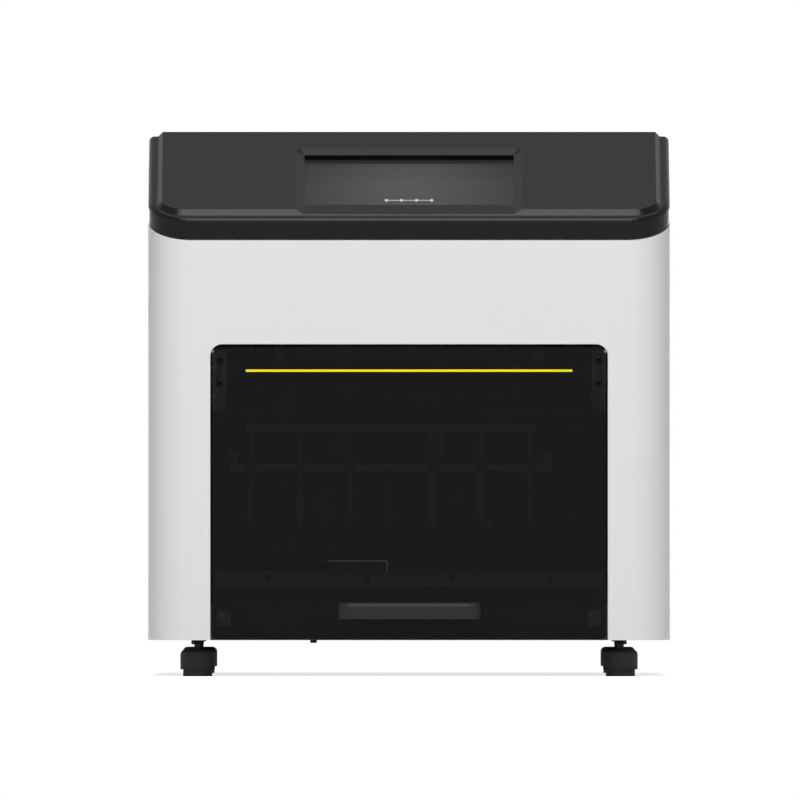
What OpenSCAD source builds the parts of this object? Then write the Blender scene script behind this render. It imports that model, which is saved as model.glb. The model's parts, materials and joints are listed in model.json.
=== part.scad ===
// Bench-top nucleic acid extractor: a magnetic-rod head over a deck for two 96-well plates.
// Units are millimetres. The front faces -Y, +X is to the right and +Z is up.
// The origin is on the bench, under the middle of the whole machine.

/* [Housing] */
// Width across the side walls
body_w = 381; // [378:1:430]
// Depth from the front face to the rear edge
body_d = 426; // [415:1:480]
// Height of the front wall from its lower edge to the seam under the cap
front_h = 291.5; // [288:0.1:330]
// Thickness of the housing wall
wall = 3; // [2:0.5:3.5]
// Radius of the front vertical corners
corner_r = 32; // [24:1:38]
// Radius of the rear vertical corners
rear_r = 6; // [5:0.5:12]
// Distance of the rear panel's inner face in front of the rear edge
panel_inset = 3; // [2.5:0.1:4]
// Width of the flanges that the rear panel is screwed to
flange_w = 12; // [8:1:20]
// Thickness of the base plate
base_t = 3; // [2:0.5:5]

/* [Cap and console] */
// Height of the cap's skirt above the seam
skirt_h = 16.1; // [12:0.1:22]
// Angle of the sloped console
slope = 22.6; // [18:0.1:26]
// Depth of the sloped console, measured level
console_d = 146.3; // [140:0.1:165]
// Radius of the cap's outer top edge
cap_edge_r = 3.9; // [2:0.1:5]
// Width of the rim at the sides and the rear
rim_w = 6.7; // [6:0.1:10]
// Width of the rim at the front, measured level
rim_front_w = 5.2; // [5:0.1:9]
// Height of the raised plateau above the rim, and width of its chamfer
plateau_h = 3.3; // [2:0.1:5]
// Corner radius of the plateau's foot
plateau_r = 20; // [8:1:26]
// Gap at the seam
seam_gap = 1.2; // [0.2:0.1:1.5]
// Length of the cap's tongue inside the housing
tongue_h = 5; // [3:0.5:8]

/* [Display] */
// Width of the display window
window_w = 153.2; // [140:0.1:170]
// Length of the display window up the slope
window_l = 95.8; // [80:0.1:98]
// Distance from the console's front edge to the window, up the slope
window_s = 23.3; // [21:0.1:28]
// Depth of the pocket round the window
pocket_depth = 2.4; // [1:0.1:2.8]
// Width of the pocket's side chamfers
pocket_side = 6.5; // [4:0.1:9]
// Width of the pocket's upper chamfer
pocket_top = 9; // [5:0.1:11]
// Width of the cut across the pocket's upper corners
pocket_corner = 3.3; // [1:0.1:5]
// Length of that cut down the slope
pocket_corner_l = 7.6; // [4:0.1:8.5]
// Depth of the glass below the pocket's floor
glass_depth = 3.9; // [2.5:0.1:6]
// Thickness of the cover glass
glass_t = 2; // [1:0.1:4]
// Width of the glass that is bonded behind the window's edge
glass_lap = 4; // [2:0.5:6]
// Thickness of the display module
module_t = 8; // [5:0.5:14]
// Distance that the display module reaches past the window's edge
module_lap = 5; // [4:0.5:6]

/* [Door] */
// Width of the door panel
door_w = 287.4; // [285:0.1:295]
// Height of the door panel
door_h = 213.8; // [208:0.1:220]
// Thickness of the door panel
door_t = 5; // [4:0.5:5]
// Height of the door's lower edge above the housing's lower edge
door_lift = 0.5; // [0.3:0.1:3]
// Radius of the upper corners
door_r = 7.3; // [4:0.1:12]
// Radius of the lower corners
door_low_r = 2.5; // [1:0.1:5]
// Gap beside the door
door_side_gap = 1.3; // [1:0.1:3]
// Gap above the door
door_top_gap = 1.6; // [1.6:0.1:3]
// Chamfer along the door's upper front edge
door_chamfer = 0.8; // [0.6:0.1:1.2]
// Height of the pivot below the door's upper edge
hinge_drop = 24.6; // [24:0.1:28]
// Depth of the pivot behind the front face
hinge_back = 8.5; // [8.5:0.1:9]
// Radius of the hinge pins
pin_r = 2; // [1.5:0.1:2.2]
// Running clearance of a shaft in its bore, on the radius
shaft_play = 0.05; // [0.02:0.01:0.1]
// Distance of the hinge screws from the middle of the door
hinge_x = 138.4; // [130:0.1:138.6]
// Width of a hinge leaf
leaf_w = 10.2; // [9:0.1:11]
// Height of a hinge leaf
leaf_h = 43.5; // [40:0.1:50]
// Thickness of a hinge leaf
leaf_t = 2.5; // [1.5:0.1:3]
// Height of a hinge leaf's upper edge above the upper screws
leaf_over = 6.9; // [5:0.1:9]
// Radius of a hinge leaf's knuckle
knuckle_r = 3.4; // [3:0.1:3.4]
// Height of the upper hinge screws above the pivot
screw_up = 14.8; // [12:0.1:17]
// Height of the lower hinge screws below the pivot
screw_down = 2.1; // [0:0.1:3]
// Radius of a hinge screw's head
screw_head_r = 2.85; // [2.7:0.05:3.2]
// Height of a hinge screw's head
screw_head_h = 1.65; // [1.5:0.05:2]
// Radius of the sink round each hinge screw's head
screw_sink_r = 4; // [3.7:0.1:4.5]
// Depth of that sink
screw_sink = 1.5; // [0.8:0.1:2]
// Radius of a hinge screw's thread
screw_r = 1.5; // [1.3:0.1:1.6]
// Radius of a hinge screw's hexagon socket
screw_key_r = 1.2; // [0.9:0.05:1.4]
// Length of the coloured stripe
stripe_w = 238.2; // [150:1:250]
// Height of the coloured stripe
stripe_h = 1.7; // [1:0.1:4]
// Depth of the groove that holds the stripe
stripe_t = 0.6; // [0.3:0.1:1]
// Distance of the stripe below the door's upper edge
stripe_drop = 17.7; // [14:0.1:24]
// Width of the handle
handle_w = 105; // [80:1:130]
// Height of the handle
handle_h = 12.1; // [8:0.1:18]
// Distance that the handle stands out from the door
handle_out = 14; // [10:1:20]
// Height of the handle above the door's lower edge
handle_z = 14.8; // [8:0.1:30]
// Radius of the handle's ends, seen from above
handle_r = 9; // [4:0.5:10]
// Chamfer along the handle's upper edge
handle_chamfer = 2.6; // [1:0.1:4]
// Distance of a door magnet's middle from the door's side edge
catch_in = 8.7; // [7:0.1:12]
// Height of a door magnet's lower edge above the door's lower edge
catch_z = 10; // [9:0.5:14]
// Width of a door magnet and its catch plate
catch_w = 10; // [8:0.5:12]
// Height of a door magnet and its catch plate
catch_h = 11.4; // [8:0.1:14]
// Thickness of a catch plate
catch_t = 1.5; // [1:0.1:2]
// Distance of a door bumper from the door's side edge
bumper_in = 26.7; // [22:0.1:40]
// Height of a door bumper's lower edge above the door's lower edge
bumper_z = 3.6; // [3:0.1:8]
// Radius of a door bumper
bumper_r = 5.5; // [4:0.1:7]

/* [Chamber] */
// Gap between the door's edge and each side frame
frame_gap = 2.8; // [1:0.1:4]
// Thickness of a side frame
frame_t = 3; // [2:0.5:4]
// Distance of the side frames' front edge behind the front face
frame_inset = 16; // [13:0.5:20]
// Height of the side frames
frame_h = 272; // [266:1:278]
// Distance of the ceiling's front edge behind the side frames' front edge
ceiling_inset = 24; // [15:1:40]
// Height of the ceiling above the deck
ceiling_h = 197; // [194:1:204]
// Thickness of the ceiling and the bulkhead
sheet_t = 3; // [1.5:0.5:4]
// Distance that the side frames reach back past the bulkhead's front
frame_tail = 17; // [14:0.5:30]
// Width of the cable window in the bulkhead
cable_w = 120; // [60:1:140]
// Height of the cable window
cable_h = 50; // [20:1:60]
// Height of the cable window above the deck
cable_z = 10; // [5:1:20]
// Radius of the ultraviolet lamp
lamp_r = 8; // [6:0.5:8]
// Length of the ultraviolet lamp
lamp_l = 212; // [150:1:220]
// Gap between the lamp and the ceiling
lamp_gap = 6; // [4:0.5:8]
// Length of the lamp's end inside its holder
holder_grip = 6; // [4:0.5:10]
// Thickness of a lamp holder round the lamp
holder_wall = 2.5; // [2:0.5:4]
// Thickness of the lamp holders
holder_len = 14; // [10:1:18]
// Thickness of a hinge bracket
bracket_t = 8; // [5:0.5:10]
// Height of a hinge bracket
bracket_h = 24; // [16:1:40]
// Distance that a hinge bracket reaches back past the side frame's front edge
bracket_reach = 24; // [16:1:40]

/* [Deck] */
// Distance of the deck's front wall behind the front face
deck_inset = 9.5; // [9.5:0.5:11]
// Height of the deck above the base plate
deck_h = 23.4; // [22.5:0.1:30]
// Distance that the deck reaches back past the nest
deck_tail = 2; // [1:0.5:4]
// Length of a plate, from side to side
plate_l = 127.76; // [127:0.01:128]
// Depth of a plate, from front to back
plate_d = 85.48; // [85:0.01:86]
// Distance between the middles of the two plates
plate_pitch = 132.7; // [131:0.1:134]
// Clearance of a plate in its nest
plate_play = 0.3; // [0.1:0.1:0.6]
// Height of the nest above the deck
nest_h = 11; // [6:0.5:12]
// Height of the nest's front wall above the deck
nest_front_h = 24; // [16:0.5:26]
// Thickness of the nest's front and rear walls
nest_wall = 6; // [4:0.5:8]
// Thickness of the nest's side walls
nest_side = 11; // [6:0.5:13]
// Distance of the front bar behind the front face
bar_inset = 29; // [24:0.5:32]
// Thickness of the front bar
bar_t = 4; // [3:0.5:5]
// Height of the front bar
bar_h = 11.6; // [8:0.1:14]
// Spacing of the outer pair of bar screws
bar_screw_out = 205.8; // [180:0.1:230]
// Spacing of the inner pair of bar screws
bar_screw_in = 62; // [40:0.1:80]
// Radius of a bar screw's head
bar_head_r = 2.8; // [2:0.1:3.2]
// Height of a bar screw's head
bar_head_h = 1.7; // [1:0.1:2.5]
// Radius of a bar screw's thread
bar_screw_r = 1.5; // [1:0.1:2]
// Length of a heater block, from side to side
heater_l = 112; // [90:1:116]
// Depth of a heater block, from front to back
heater_d = 70; // [50:1:72]
// Width of the lip on which a heater block hangs
heater_lip = 4; // [2:0.5:5]
// Height of a heater block above the deck
heater_top = 3; // [1:0.5:5]
// Depth of a heater block below the deck
heater_low = 10; // [5:0.5:14]

/* [Head] */
// Distance between two wells
well_pitch = 9; // [8.8:0.1:9]
// Rods in one row, front to back
row_rods = 8; // [4:1:8]
// Columns that the head can shift to the right
column_steps = 3; // [1:1:3]
// Height of the head's lowest edge above the deck at rest
head_clear = 94; // [88:0.5:98]
// Radius of a magnet rod
rod_r = 2.2; // [1.5:0.1:2.2]
// Clearance between a rod and its sleeve
rod_play = 0.3; // [0.2:0.05:0.5]
// Thickness of a sleeve's wall
sleeve_wall = 0.5; // [0.3:0.05:0.6]
// Length of a sleeve below the holder's top
sleeve_l = 45.3; // [35:0.1:46]
// Width of a sleeve comb's flange
comb_flange_w = 10; // [9:0.5:12]
// Thickness of a sleeve comb's flange
comb_flange_t = 1.8; // [1:0.1:2.5]
// Distance that a flange reaches past its first well
comb_front = 7; // [5:0.5:8]
// Distance that a flange reaches past its last well
comb_rear = 5; // [4:0.5:6]
// Width of the slot that a sleeve comb slides into
slot_w = 7; // [6.8:0.1:8]
// Width of the comb holder
comb_w = 235; // [230:0.5:238]
// Depth of the comb holder
comb_d = 88; // [82:0.5:92]
// Thickness of the comb holder
comb_t = 5.1; // [3:0.1:7]
// Gap between the comb holder and the magnet carriage
comb_room = 8; // [6:0.5:12]
// Thickness of the ledge under the comb holder
ledge_t = 3; // [2:0.1:4]
// Width of the ledge under the comb holder
ledge_w = 5.2; // [4:0.1:8]
// Thickness of a lift arm
arm_t = 3.8; // [3:0.1:6]
// Width of the lift plate
lift_plate_w = 124; // [118:1:130]
// Height of the lift plate
lift_plate_h = 109; // [107:1:112]
// Height of the lift plate's wide foot
lift_foot_h = 23; // [15:1:30]
// Width of the magnet carriage's plate
head_plate_w = 104; // [95:1:110]
// Height of the magnet carriage's plate
head_plate_h = 48; // [44:1:50]
// Height of the magnet plate above the comb holder at rest
magnet_gap = 23.3; // [23:0.1:28]
// Distance that the magnet plate can go down from rest
magnet_down = 20; // [10:0.5:21]
// Distance that the magnet plate can go up from rest
magnet_up = 20; // [10:0.5:21]
// Width of the magnet plate
magnet_w = 212; // [210:0.5:216]
// Thickness of the magnet plate
magnet_t = 5.8; // [4:0.1:7]
// Distance of a thumbscrew from the middle of the head
thumb_x = 114.75; // [113.5:0.05:115]
// Radius of a thumbscrew's knob
thumb_r = 4.5; // [4:0.1:5]
// Height of a thumbscrew's knob
thumb_h = 2.4; // [2:0.1:4]
// Radius of a thumbscrew's neck
neck_r = 3.2; // [2.6:0.1:3.4]
// Height of a thumbscrew's neck
neck_h = 6.1; // [4:0.1:8]
// Radius of a thumbscrew's thread
thumb_thread_r = 2; // [1.5:0.1:2]

/* [Drives] */
// Downward travel of the lift
lift_travel = 48; // [30:1:48]
// Thickness of the carriage and lift plates
plate_t = 6; // [5:0.5:8]
// Width of the X carriage
carriage_w = 136; // [130:1:150]
// Height of the lower X rail above the deck
x_rail_up = 137; // [130:1:142]
// Distance between the two X rails
x_rail_gap = 72; // [68:1:78]
// Distance of the large vertical rails from the middle of the head
rail_dx = 48; // [46:0.5:50]
// Distance of the small rails from the middle of the head
small_rail_dx = 36; // [33:0.5:38]
// Width of the large guide rails
rail_w = 12; // [9:0.5:15]
// Height of the large guide rails
rail_h = 8; // [6.5:0.5:9]
// Height of a large block's top above the rail's seat
block_h = 13; // [12:0.5:16]
// Width of a large block
block_w = 27; // [24:1:30]
// Length of a large block
block_l = 34; // [28:1:40]
// Height of the lower lift blocks above the head's lowest edge
lift_block_up = 28; // [22:1:32]
// Distance between the lower and the upper lift blocks
lift_block_step = 63; // [58:1:63]
// Length of a rail past its blocks at either end
rail_spare = 5; // [2:0.5:8]
// Width of the small guide rails
small_rail_w = 9; // [7:0.5:9]
// Height of the small guide rails
small_rail_h = 6.5; // [5:0.5:6.5]
// Height of a small block's top above the rail's seat
small_block_h = 10; // [9:0.5:12]
// Width of a small block
small_block_w = 20; // [18:0.5:22]
// Length of a small block
small_block_l = 36; // [28:1:38]
// Clearance between a rail and its block
rail_play = 0.3; // [0.2:0.05:0.5]
// Radius of the large lead screws
screw_big_r = 4; // [3:0.5:4]
// Radius of the small lead screw
screw_small_r = 3; // [2:0.5:3]
// Length of a lead screw's end inside its motor
screw_end = 7; // [5:0.5:10]
// Length of the X screw's nut
x_nut_l = 30; // [20:1:34]
// Height of the X screw's nut
x_nut_h = 22; // [16:1:26]
// Width of the lift screw's nut
lift_nut_w = 22; // [18:1:26]
// Height of the lift screw's nut
lift_nut_h = 18; // [14:1:24]
// Height of that nut's middle above the head's lowest edge
lift_nut_up = 53; // [45:1:60]
// Width of the small screw's nut
small_nut_w = 18; // [14:1:22]
// Height of the small screw's nut
small_nut_h = 14; // [10:1:18]
// Width of the lift screw's foot bearing
bearing_w = 20; // [16:1:26]
// Depth of that bearing on either side of the screw
bearing_r = 6; // [5.5:0.5:8]
// Height of that bearing
bearing_h = 7; // [5:0.5:10]
// Side of a large motor
motor_side = 42; // [35:1:42]
// Radius of a large motor's centring boss
boss_r = 11; // [9:0.5:12]
// Height of that boss
boss_h = 2; // [1:0.5:2.5]
// Thickness of the shelf under the lift's motor
shelf_t = 4; // [3:0.5:6]
// Room for cables between the two upright motors
motor_step = 11; // [8:0.5:16]
// Length of the lift's motor
motor_l = 34; // [28:1:34]
// Gap between the X motor's back and the housing's side wall
motor_room = 4; // [1:0.5:10]
// Gap between the small motor and the lift's lead screw
motor_gap = 0.8; // [0.5:0.1:1]
// Side of the small motor
small_motor_side = 28; // [25:1:28]
// Length of the small motor
small_motor_l = 32; // [25:1:32]

/* [Rear] */
// Thickness of the rear panel
rear_t = 2; // [1:0.5:2.5]
// Side of the fan
fan_side = 80; // [60:1:92]
// Thickness of the fan
fan_t = 25; // [15:1:32]
// Width of a ring slot in front of the fan
ring_slot = 4.2; // [3:0.1:5]
// Width of the ribs across the ring slots
ring_rib = 5; // [4:0.5:8]
// Width of a cooling slot
vent_w = 4; // [2.5:0.5:5]
// Height of a cooling slot
vent_h = 28; // [20:1:32]
// Distance between two cooling slots
vent_pitch = 9; // [7:0.5:10]
// Gap between the two rows of cooling slots
vent_gap = 8; // [6:0.5:12]
// Distance of the first cooling slot from the left side of the housing
vent_in = 70.5; // [60:0.5:80]
// Distance of the fan's middle from the right side of the housing
fan_in = 95.5; // [85:0.5:105]
// Height of the fan above the base plate
fan_h = 250; // [200:1:270]
// Distance of the mains inlet from the left side of the housing
inlet_in = 55.5; // [45:0.5:70]
// Distance between the mains inlet and the rocker switch
switch_step = 43; // [35:1:55]
// Distance between the rocker switch and the data ports
ports_step = 52; // [42:1:62]
// Height of the connectors above the base plate
socket_h = 45; // [35:1:60]
// Angle between the rocker's two positions
rocker_swing = 20; // [14:1:24]
// Width of the power supply
supply_w = 98; // [80:1:100]
// Length of the power supply
supply_l = 160; // [140:1:165]
// Height of the power supply
supply_h = 42; // [30:1:50]
// Distance of the power supply from the right side of the housing
supply_in = 62.5; // [58:0.5:70]
// Length of the control board, from side to side
board_l = 160; // [140:1:165]
// Depth of the control board
board_d = 110; // [90:1:130]
// Distance of the control board from the left side of the housing
board_in = 40.5; // [35:0.5:50]
// Height of the board's pillars
pillar_h = 8; // [5:0.5:12]
// Thickness of the control board
board_t = 1.6; // [1:0.1:2.4]

/* [Feet] */
// Radius of a foot pad
pad_r = 12.75; // [8:0.05:15]
// Radius of a foot pad's base
pad_base_r = 10.7; // [6:0.1:12]
// Height of a foot pad's base
pad_base_h = 5; // [3:0.1:8]
// Height of a foot pad's dome
pad_dome_h = 14.4; // [10:0.1:20]
// Radius of the dome's upper edge
pad_edge_r = 3.6; // [1:0.1:5]
// Radius of a foot's stud
stud_r = 2.5; // [2:0.1:3]
// Length of the stud between the pad and the lock nut
stud_gap = 3.9; // [2:0.1:10]
// Thickness of a lock nut
nut_h = 3.3; // [2.5:0.1:5]
// Width across a lock nut's flats
nut_w = 8; // [8:0.1:10]
// Distance of a foot from the housing's side
foot_inset = 36.1; // [30:0.1:37]
// Distance of a foot from the housing's front and rear
foot_inset_y = 45; // [40:1:70]
// Place of the single screw under the base, from the middle
nub_x = -69.7; // [-100:1:100]
// Radius of that screw's head
nub_r = 2.4; // [2:0.1:3.5]
// Height of that screw's head
nub_h = 2.1; // [1.5:0.1:3]

/* [Hidden] */
$fn = 64;

// How far a cutting solid runs past the face that it cuts
over = 1;
// Gap where two pieces of one body meet without touching
near = 0.3;

// Heights
base_z = pad_base_h + pad_dome_h + stud_gap + nut_h;
base_top = base_z + base_t;
seam_z = base_z + front_h;
rim_z = seam_z + skirt_h;
console_rise = console_d * tan(slope);
plateau_z = rim_z + plateau_h;
ceiling_drop = (pocket_depth + glass_depth) / cos(slope);
deck_top = base_top + deck_h;
ceiling_z = deck_top + ceiling_h;
frame_top = base_top + frame_h;

// Depths
front_y = (handle_out - body_d) / 2;
rear_y = front_y + body_d;
break_y = front_y + console_d;
in_w = body_w - 2 * wall;
panel_y = rear_y - panel_inset;

// Door
door_z = base_z + door_lift;
door_top = door_z + door_h;
door_back = front_y + door_t;
pivot_y = front_y + hinge_back;
pivot_z = door_top - hinge_drop;
screw_zs = [pivot_z + screw_up, pivot_z - screw_down];
leaf_z = pivot_z + screw_up + leaf_over - leaf_h;
catch_x = door_w / 2 - catch_in;
bumper_x = door_w / 2 - bumper_in;
handle_low = door_z + handle_z;

// Chamber
frame_in = door_w / 2 + frame_gap;
frame_out = frame_in + frame_t;
deck_y = front_y + deck_inset;
bar_y = front_y + bar_inset;
nest_y = bar_y + bar_t;
bay_l = plate_l + 2 * plate_play;
bay_d = plate_d + 2 * plate_play;
bay_y = nest_y + nest_wall;
nest_end = bay_y + bay_d + nest_wall;
nest_w = plate_pitch + bay_l + 2 * nest_side;
bar_z = deck_top + nest_front_h - bar_h;
bar_screw_xs = [-bar_screw_out / 2, -bar_screw_in / 2, bar_screw_in / 2, bar_screw_out / 2];

// Head at its leftmost column
head_x = -column_steps * well_pitch / 2;
head_y = bay_y + bay_d / 2;
head_z = deck_top + head_clear;
comb_z = head_z + ledge_t;
comb_top = comb_z + comb_t;
magnet_z = comb_top + magnet_gap;
magnet_top = magnet_z + magnet_t;
sleeve_in_r = rod_r + rod_play;
sleeve_r = sleeve_in_r + sleeve_wall;
sleeve_z = comb_top - sleeve_l;
rod_z = sleeve_z + sleeve_wall + 0.7 + magnet_down;
row_reach = (row_rods - 1) / 2 * well_pitch;
row_xs = [for (p = [-1, 1], k = [-1, 0, 1]) head_x + p * plate_pitch / 2 + k * 4 * well_pitch];
rod_ys = [for (j = [0 : row_rods - 1]) head_y - row_reach + j * well_pitch];

// Drives, from the magnet carriage back to the bulkhead
small_plate_y = head_y + comb_d / 2 + comb_room;
lift_y = small_plate_y + plate_t + small_block_h;
carriage_y = lift_y + plate_t + block_h;
bulkhead_y = carriage_y + plate_t + block_h;
frame_end = bulkhead_y + frame_tail;
lift_top = head_z + lift_plate_h;
small_motor_z = lift_top + sheet_t;
big_motor_z = small_motor_z + small_motor_l + motor_step;
x_low_z = deck_top + x_rail_up;
x_high_z = x_low_z + x_rail_gap;
x_screw_z = (x_low_z + x_high_z) / 2;
x_screw_y = bulkhead_y - block_h / 2;
z_screw_y = carriage_y - block_h / 2;
small_screw_y = z_screw_y - screw_big_r - motor_gap - small_motor_side / 2;
carriage_low = head_z - lift_travel - 1;
lift_block_zs = [head_z + lift_block_up, head_z + lift_block_up + lift_block_step];
z_rail_low = lift_block_zs[0] - lift_travel - block_l / 2 - rail_spare;
z_rail_high = lift_block_zs[1] + block_l / 2 + rail_spare;

// Rear
fan_x = body_w / 2 - fan_in;
fan_z = base_top + fan_h;
vent_x = vent_in - body_w / 2;
supply_x = body_w / 2 - supply_in;
board_x = board_in - body_w / 2;
inlet_x = inlet_in - body_w / 2;
switch_x = inlet_x + switch_step;
ports_x = switch_x + ports_step;
socket_z = base_top + socket_h;

foot_x = body_w / 2 - foot_inset;
foot_front_y = front_y + foot_inset_y;
foot_rear_y = rear_y - foot_inset_y;

// ---- Shared shapes ----

// A box between two limits along each axis
module block(x, y, z) {
  translate([x[0], y[0], z[0]])
    cube([x[1] - x[0], y[1] - y[0], z[1] - z[0]]);
}

module bar_x(r, x, y, z) {
  translate([x[0], y, z])
    rotate([0, 90, 0])
      cylinder(r = r, h = x[1] - x[0]);
}

module bar_y(r, x, y, z) {
  translate([x, y[1], z])
    rotate([90, 0, 0])
      cylinder(r = r, h = y[1] - y[0]);
}

module bar_z(r, x, y, z) {
  translate([x, y, z[0]])
    cylinder(r = r, h = z[1] - z[0]);
}

// A flat outline centred on X, from a to b, with its own corner radius at each end
module rounded(w, a, b, ra, rb) {
  translate([-w / 2, a + ra])
    square([w, b - a - ra - rb]);
  translate([-w / 2 + ra, a])
    square([w - 2 * ra, 2 * ra]);
  translate([-w / 2 + rb, b - 2 * rb])
    square([w - 2 * rb, 2 * rb]);
  for (s = [-1, 1]) {
    translate([s * (w / 2 - ra), a + ra])
      circle(r = ra);
    translate([s * (w / 2 - rb), b - rb])
      circle(r = rb);
  }
}

function rear_corner(inset) = rear_r - min(inset, rear_r - 1);

// The housing's outline seen from above, moved inwards by inset
module plan(inset) {
  rounded(body_w - 2 * inset, front_y + inset, rear_y - inset, corner_r - inset, rear_corner(inset));
}

// An outline drawn in X and Z, pushed out along Y
module facing(y) {
  translate([0, y[1], 0])
    rotate([90, 0, 0])
      linear_extrude(y[1] - y[0])
        children();
}

// A box with its middle at p and its size w, both in X and Z, between two depths
module facing_block(p, w, y) {
  block([p.x - w.x / 2, p.x + w.x / 2], y, [p.y - w.y / 2, p.y + w.y / 2]);
}

// Everything under the bent line that passes height z at the front face and runs parallel to the console
module under(z) {
  rotate([90, 0, 90])
    linear_extrude(body_w + 20, center = true)
      polygon([
        [front_y - 20, -10],
        [front_y - 20, z - 20 * tan(slope)],
        [break_y, z + console_rise],
        [rear_y + 20, z + console_rise],
        [rear_y + 20, -10]
      ]);
}

// Children placed on the plateau's sloped face: X across, Y up the slope, Z out of it
module on_console() {
  translate([0, front_y, plateau_z])
    rotate([slope, 0, 0])
      children();
}

// The smallest convex solid round a list of points
module hull_of(points) {
  hull()
    polyhedron(points, [for (i = [0 : len(points) - 3]) [i, i + 1, i + 2]]);
}

module rail_outline(w, h) {
  polygon([
    [-w / 2, 0], [w / 2, 0], [w / 2, 0.4 * h], [0.4 * w, 0.5 * h], [0.4 * w, 0.65 * h], [w / 2, 0.75 * h],
    [w / 2, h], [-w / 2, h], [-w / 2, 0.75 * h], [-0.4 * w, 0.65 * h], [-0.4 * w, 0.5 * h], [-w / 2, 0.4 * h]
  ]);
}

// A block's outline: it rides over the rail and stays clear of the rail's seat
module block_outline(w, top, rail_width, rail_height) {
  difference() {
    translate([-w / 2, 3])
      square([w, top - 3]);
    translate([-rail_width / 2 - rail_play, 0])
      square([rail_width + 2 * rail_play, rail_height + rail_play]);
  }
}

// Children drawn flat, standing on a wall at y towards the front, and pushed up along Z
module upright(x, y, z) {
  translate([x, y, z[0]])
    mirror([0, 1, 0])
      linear_extrude(z[1] - z[0])
        children();
}

// The same, pushed along X
module lying(x, y, z) {
  translate([x[0], y, z])
    rotate([0, 90, 0])
      mirror([0, 1, 0])
        linear_extrude(x[1] - x[0])
          children();
}

module motor_outline(side) {
  intersection() {
    square(side, center = true);
    rotate(45)
      square(side * 1.28, center = true);
  }
}

// A button-head screw with its head at y and its thread running back
module screw_back(x, y, z, head_r, head_h, thread_r, thread_l, key_r) {
  translate([x, y, z])
    rotate([90, 0, 0])
      difference() {
        union() {
          intersection() {
            cylinder(r = head_r, h = head_h);
            translate([0, 0, head_h - head_r * 1.35])
              sphere(r = head_r * 1.35);
          }
          translate([0, 0, -thread_l])
            cylinder(r = thread_r, h = thread_l);
        }
        translate([0, 0, head_h * 0.35])
          cylinder(r = key_r, h = head_h, $fn = 6);
      }
}

// ---- Housing ----

module outer_housing() {
  color([0.87, 0.87, 0.87])
    difference() {
      union() {
        intersection() {
          translate([0, 0, base_z])
            linear_extrude(front_h + console_rise + over)
              difference() {
                plan(0);
                plan(wall);
              }
          under(seam_z);
        }
        for (s = [-1, 1])
          block(
            [s * (in_w / 2 + 0.5) - (s > 0 ? flange_w : 0), s * (in_w / 2 + 0.5) + (s > 0 ? 0 : flange_w)],
            [panel_y - wall, panel_y],
            [base_top + near, seam_z + console_rise - tongue_h - 3]
          );
      }
      // The rear is open between the flanges
      block([-in_w / 2, in_w / 2], [panel_y, rear_y + over], [0, seam_z + console_rise + 2 * over]);
      block([-in_w / 2, in_w / 2], [rear_y - wall - over, rear_y + over], [0, base_top]);
      // The door opening runs out through the lower edge
      facing([front_y - over, front_y + wall + over])
        rounded(
          door_w + 2 * door_side_gap, base_z - 20, door_top + door_top_gap,
          1, door_r + door_side_gap
        );
    }
}

module base_plate() {
  color([0.35, 0.36, 0.38])
    difference() {
      translate([0, 0, base_z])
        linear_extrude(base_t)
          rounded(in_w - 2 * near, front_y + wall + near, panel_y, corner_r - wall - near, rear_r - wall);
      // Room for the door's lower edge
      block([-door_w / 2 - 2, door_w / 2 + 2], [front_y, door_back + 1.2], [base_z - over, base_top + over]);
      for (x = [-foot_x, foot_x], y = [foot_front_y, foot_rear_y])
        bar_z(stud_r + shaft_play, x, y, [base_z - over, base_top + over]);
    }
}

panel_depth = [panel_y, panel_y + rear_t];
panel_cut = [panel_y - over, panel_y + rear_t + over];

module rear_panel() {
  color([0.80, 0.80, 0.81])
    difference() {
      block(
        [-in_w / 2 + near, in_w / 2 - near],
        panel_depth,
        [base_z, seam_z + console_rise - near]
      );
      // Ring slots in front of the fan, kept apart by four ribs
      facing(panel_cut)
        translate([fan_x, fan_z])
          difference() {
            for (k = [0 : 3])
              difference() {
                circle(r = fan_side * (0.19 + 0.08 * k) + ring_slot);
                circle(r = fan_side * (0.19 + 0.08 * k));
              }
            for (a = [45, 135])
              rotate(a)
                square([fan_side * 2, ring_rib], center = true);
          }
      // Rows of cooling slots
      for (i = [0 : 11], k = [0, 1])
        translate([vent_x + i * vent_pitch, 0, fan_z - vent_h - vent_gap / 2 + k * (vent_h + vent_gap)])
          block([0, vent_w], panel_cut, [0, vent_h]);
      block([inlet_x - 13.7, inlet_x + 13.7], panel_cut, [socket_z - 10, socket_z + 10]);
      block([switch_x - 9.6, switch_x + 9.6], panel_cut, [socket_z - 13, socket_z + 13]);
      block([ports_x - 24, ports_x + 24], panel_cut, [socket_z - 8.2, socket_z + 8.2]);
    }
}

// Height of the rim's plane at depth y, carried on past the bend
function slope_z(y) = rim_z + (y - front_y) * tan(slope);
slope_up = [0, -sin(slope), cos(slope)];
flat_up = [0, 0, 1];
corner_steps = 12;
edge_steps = 5;

// A direction on the arc from u to v
function between(u, v, t) =
  let (phi = acos(u * v))
  (sin((1 - t) * phi) * u + sin(t * phi) * v) / sin(phi);

// Points of the rounded edge at centre c, from the direction out to the direction up
function edge_arc(c, out, up) =
  [for (j = [0 : edge_steps]) c + cap_edge_r * between(out, up, j / edge_steps)];

function front_out(s, i) = let (a = 90 * i / corner_steps) [s * cos(a), -sin(a), 0];
function rear_out(s, i) = let (a = 45 * i) [s * cos(a), sin(a), 0];
function front_centre(s, r, inset, edge) = [s * (body_w / 2 - inset - r), front_y + edge + r, 0];
function bend_centre(s) =
  [s * (body_w / 2 - cap_edge_r), break_y + cap_edge_r * tan(slope / 2), rim_z + console_rise - cap_edge_r];

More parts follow.
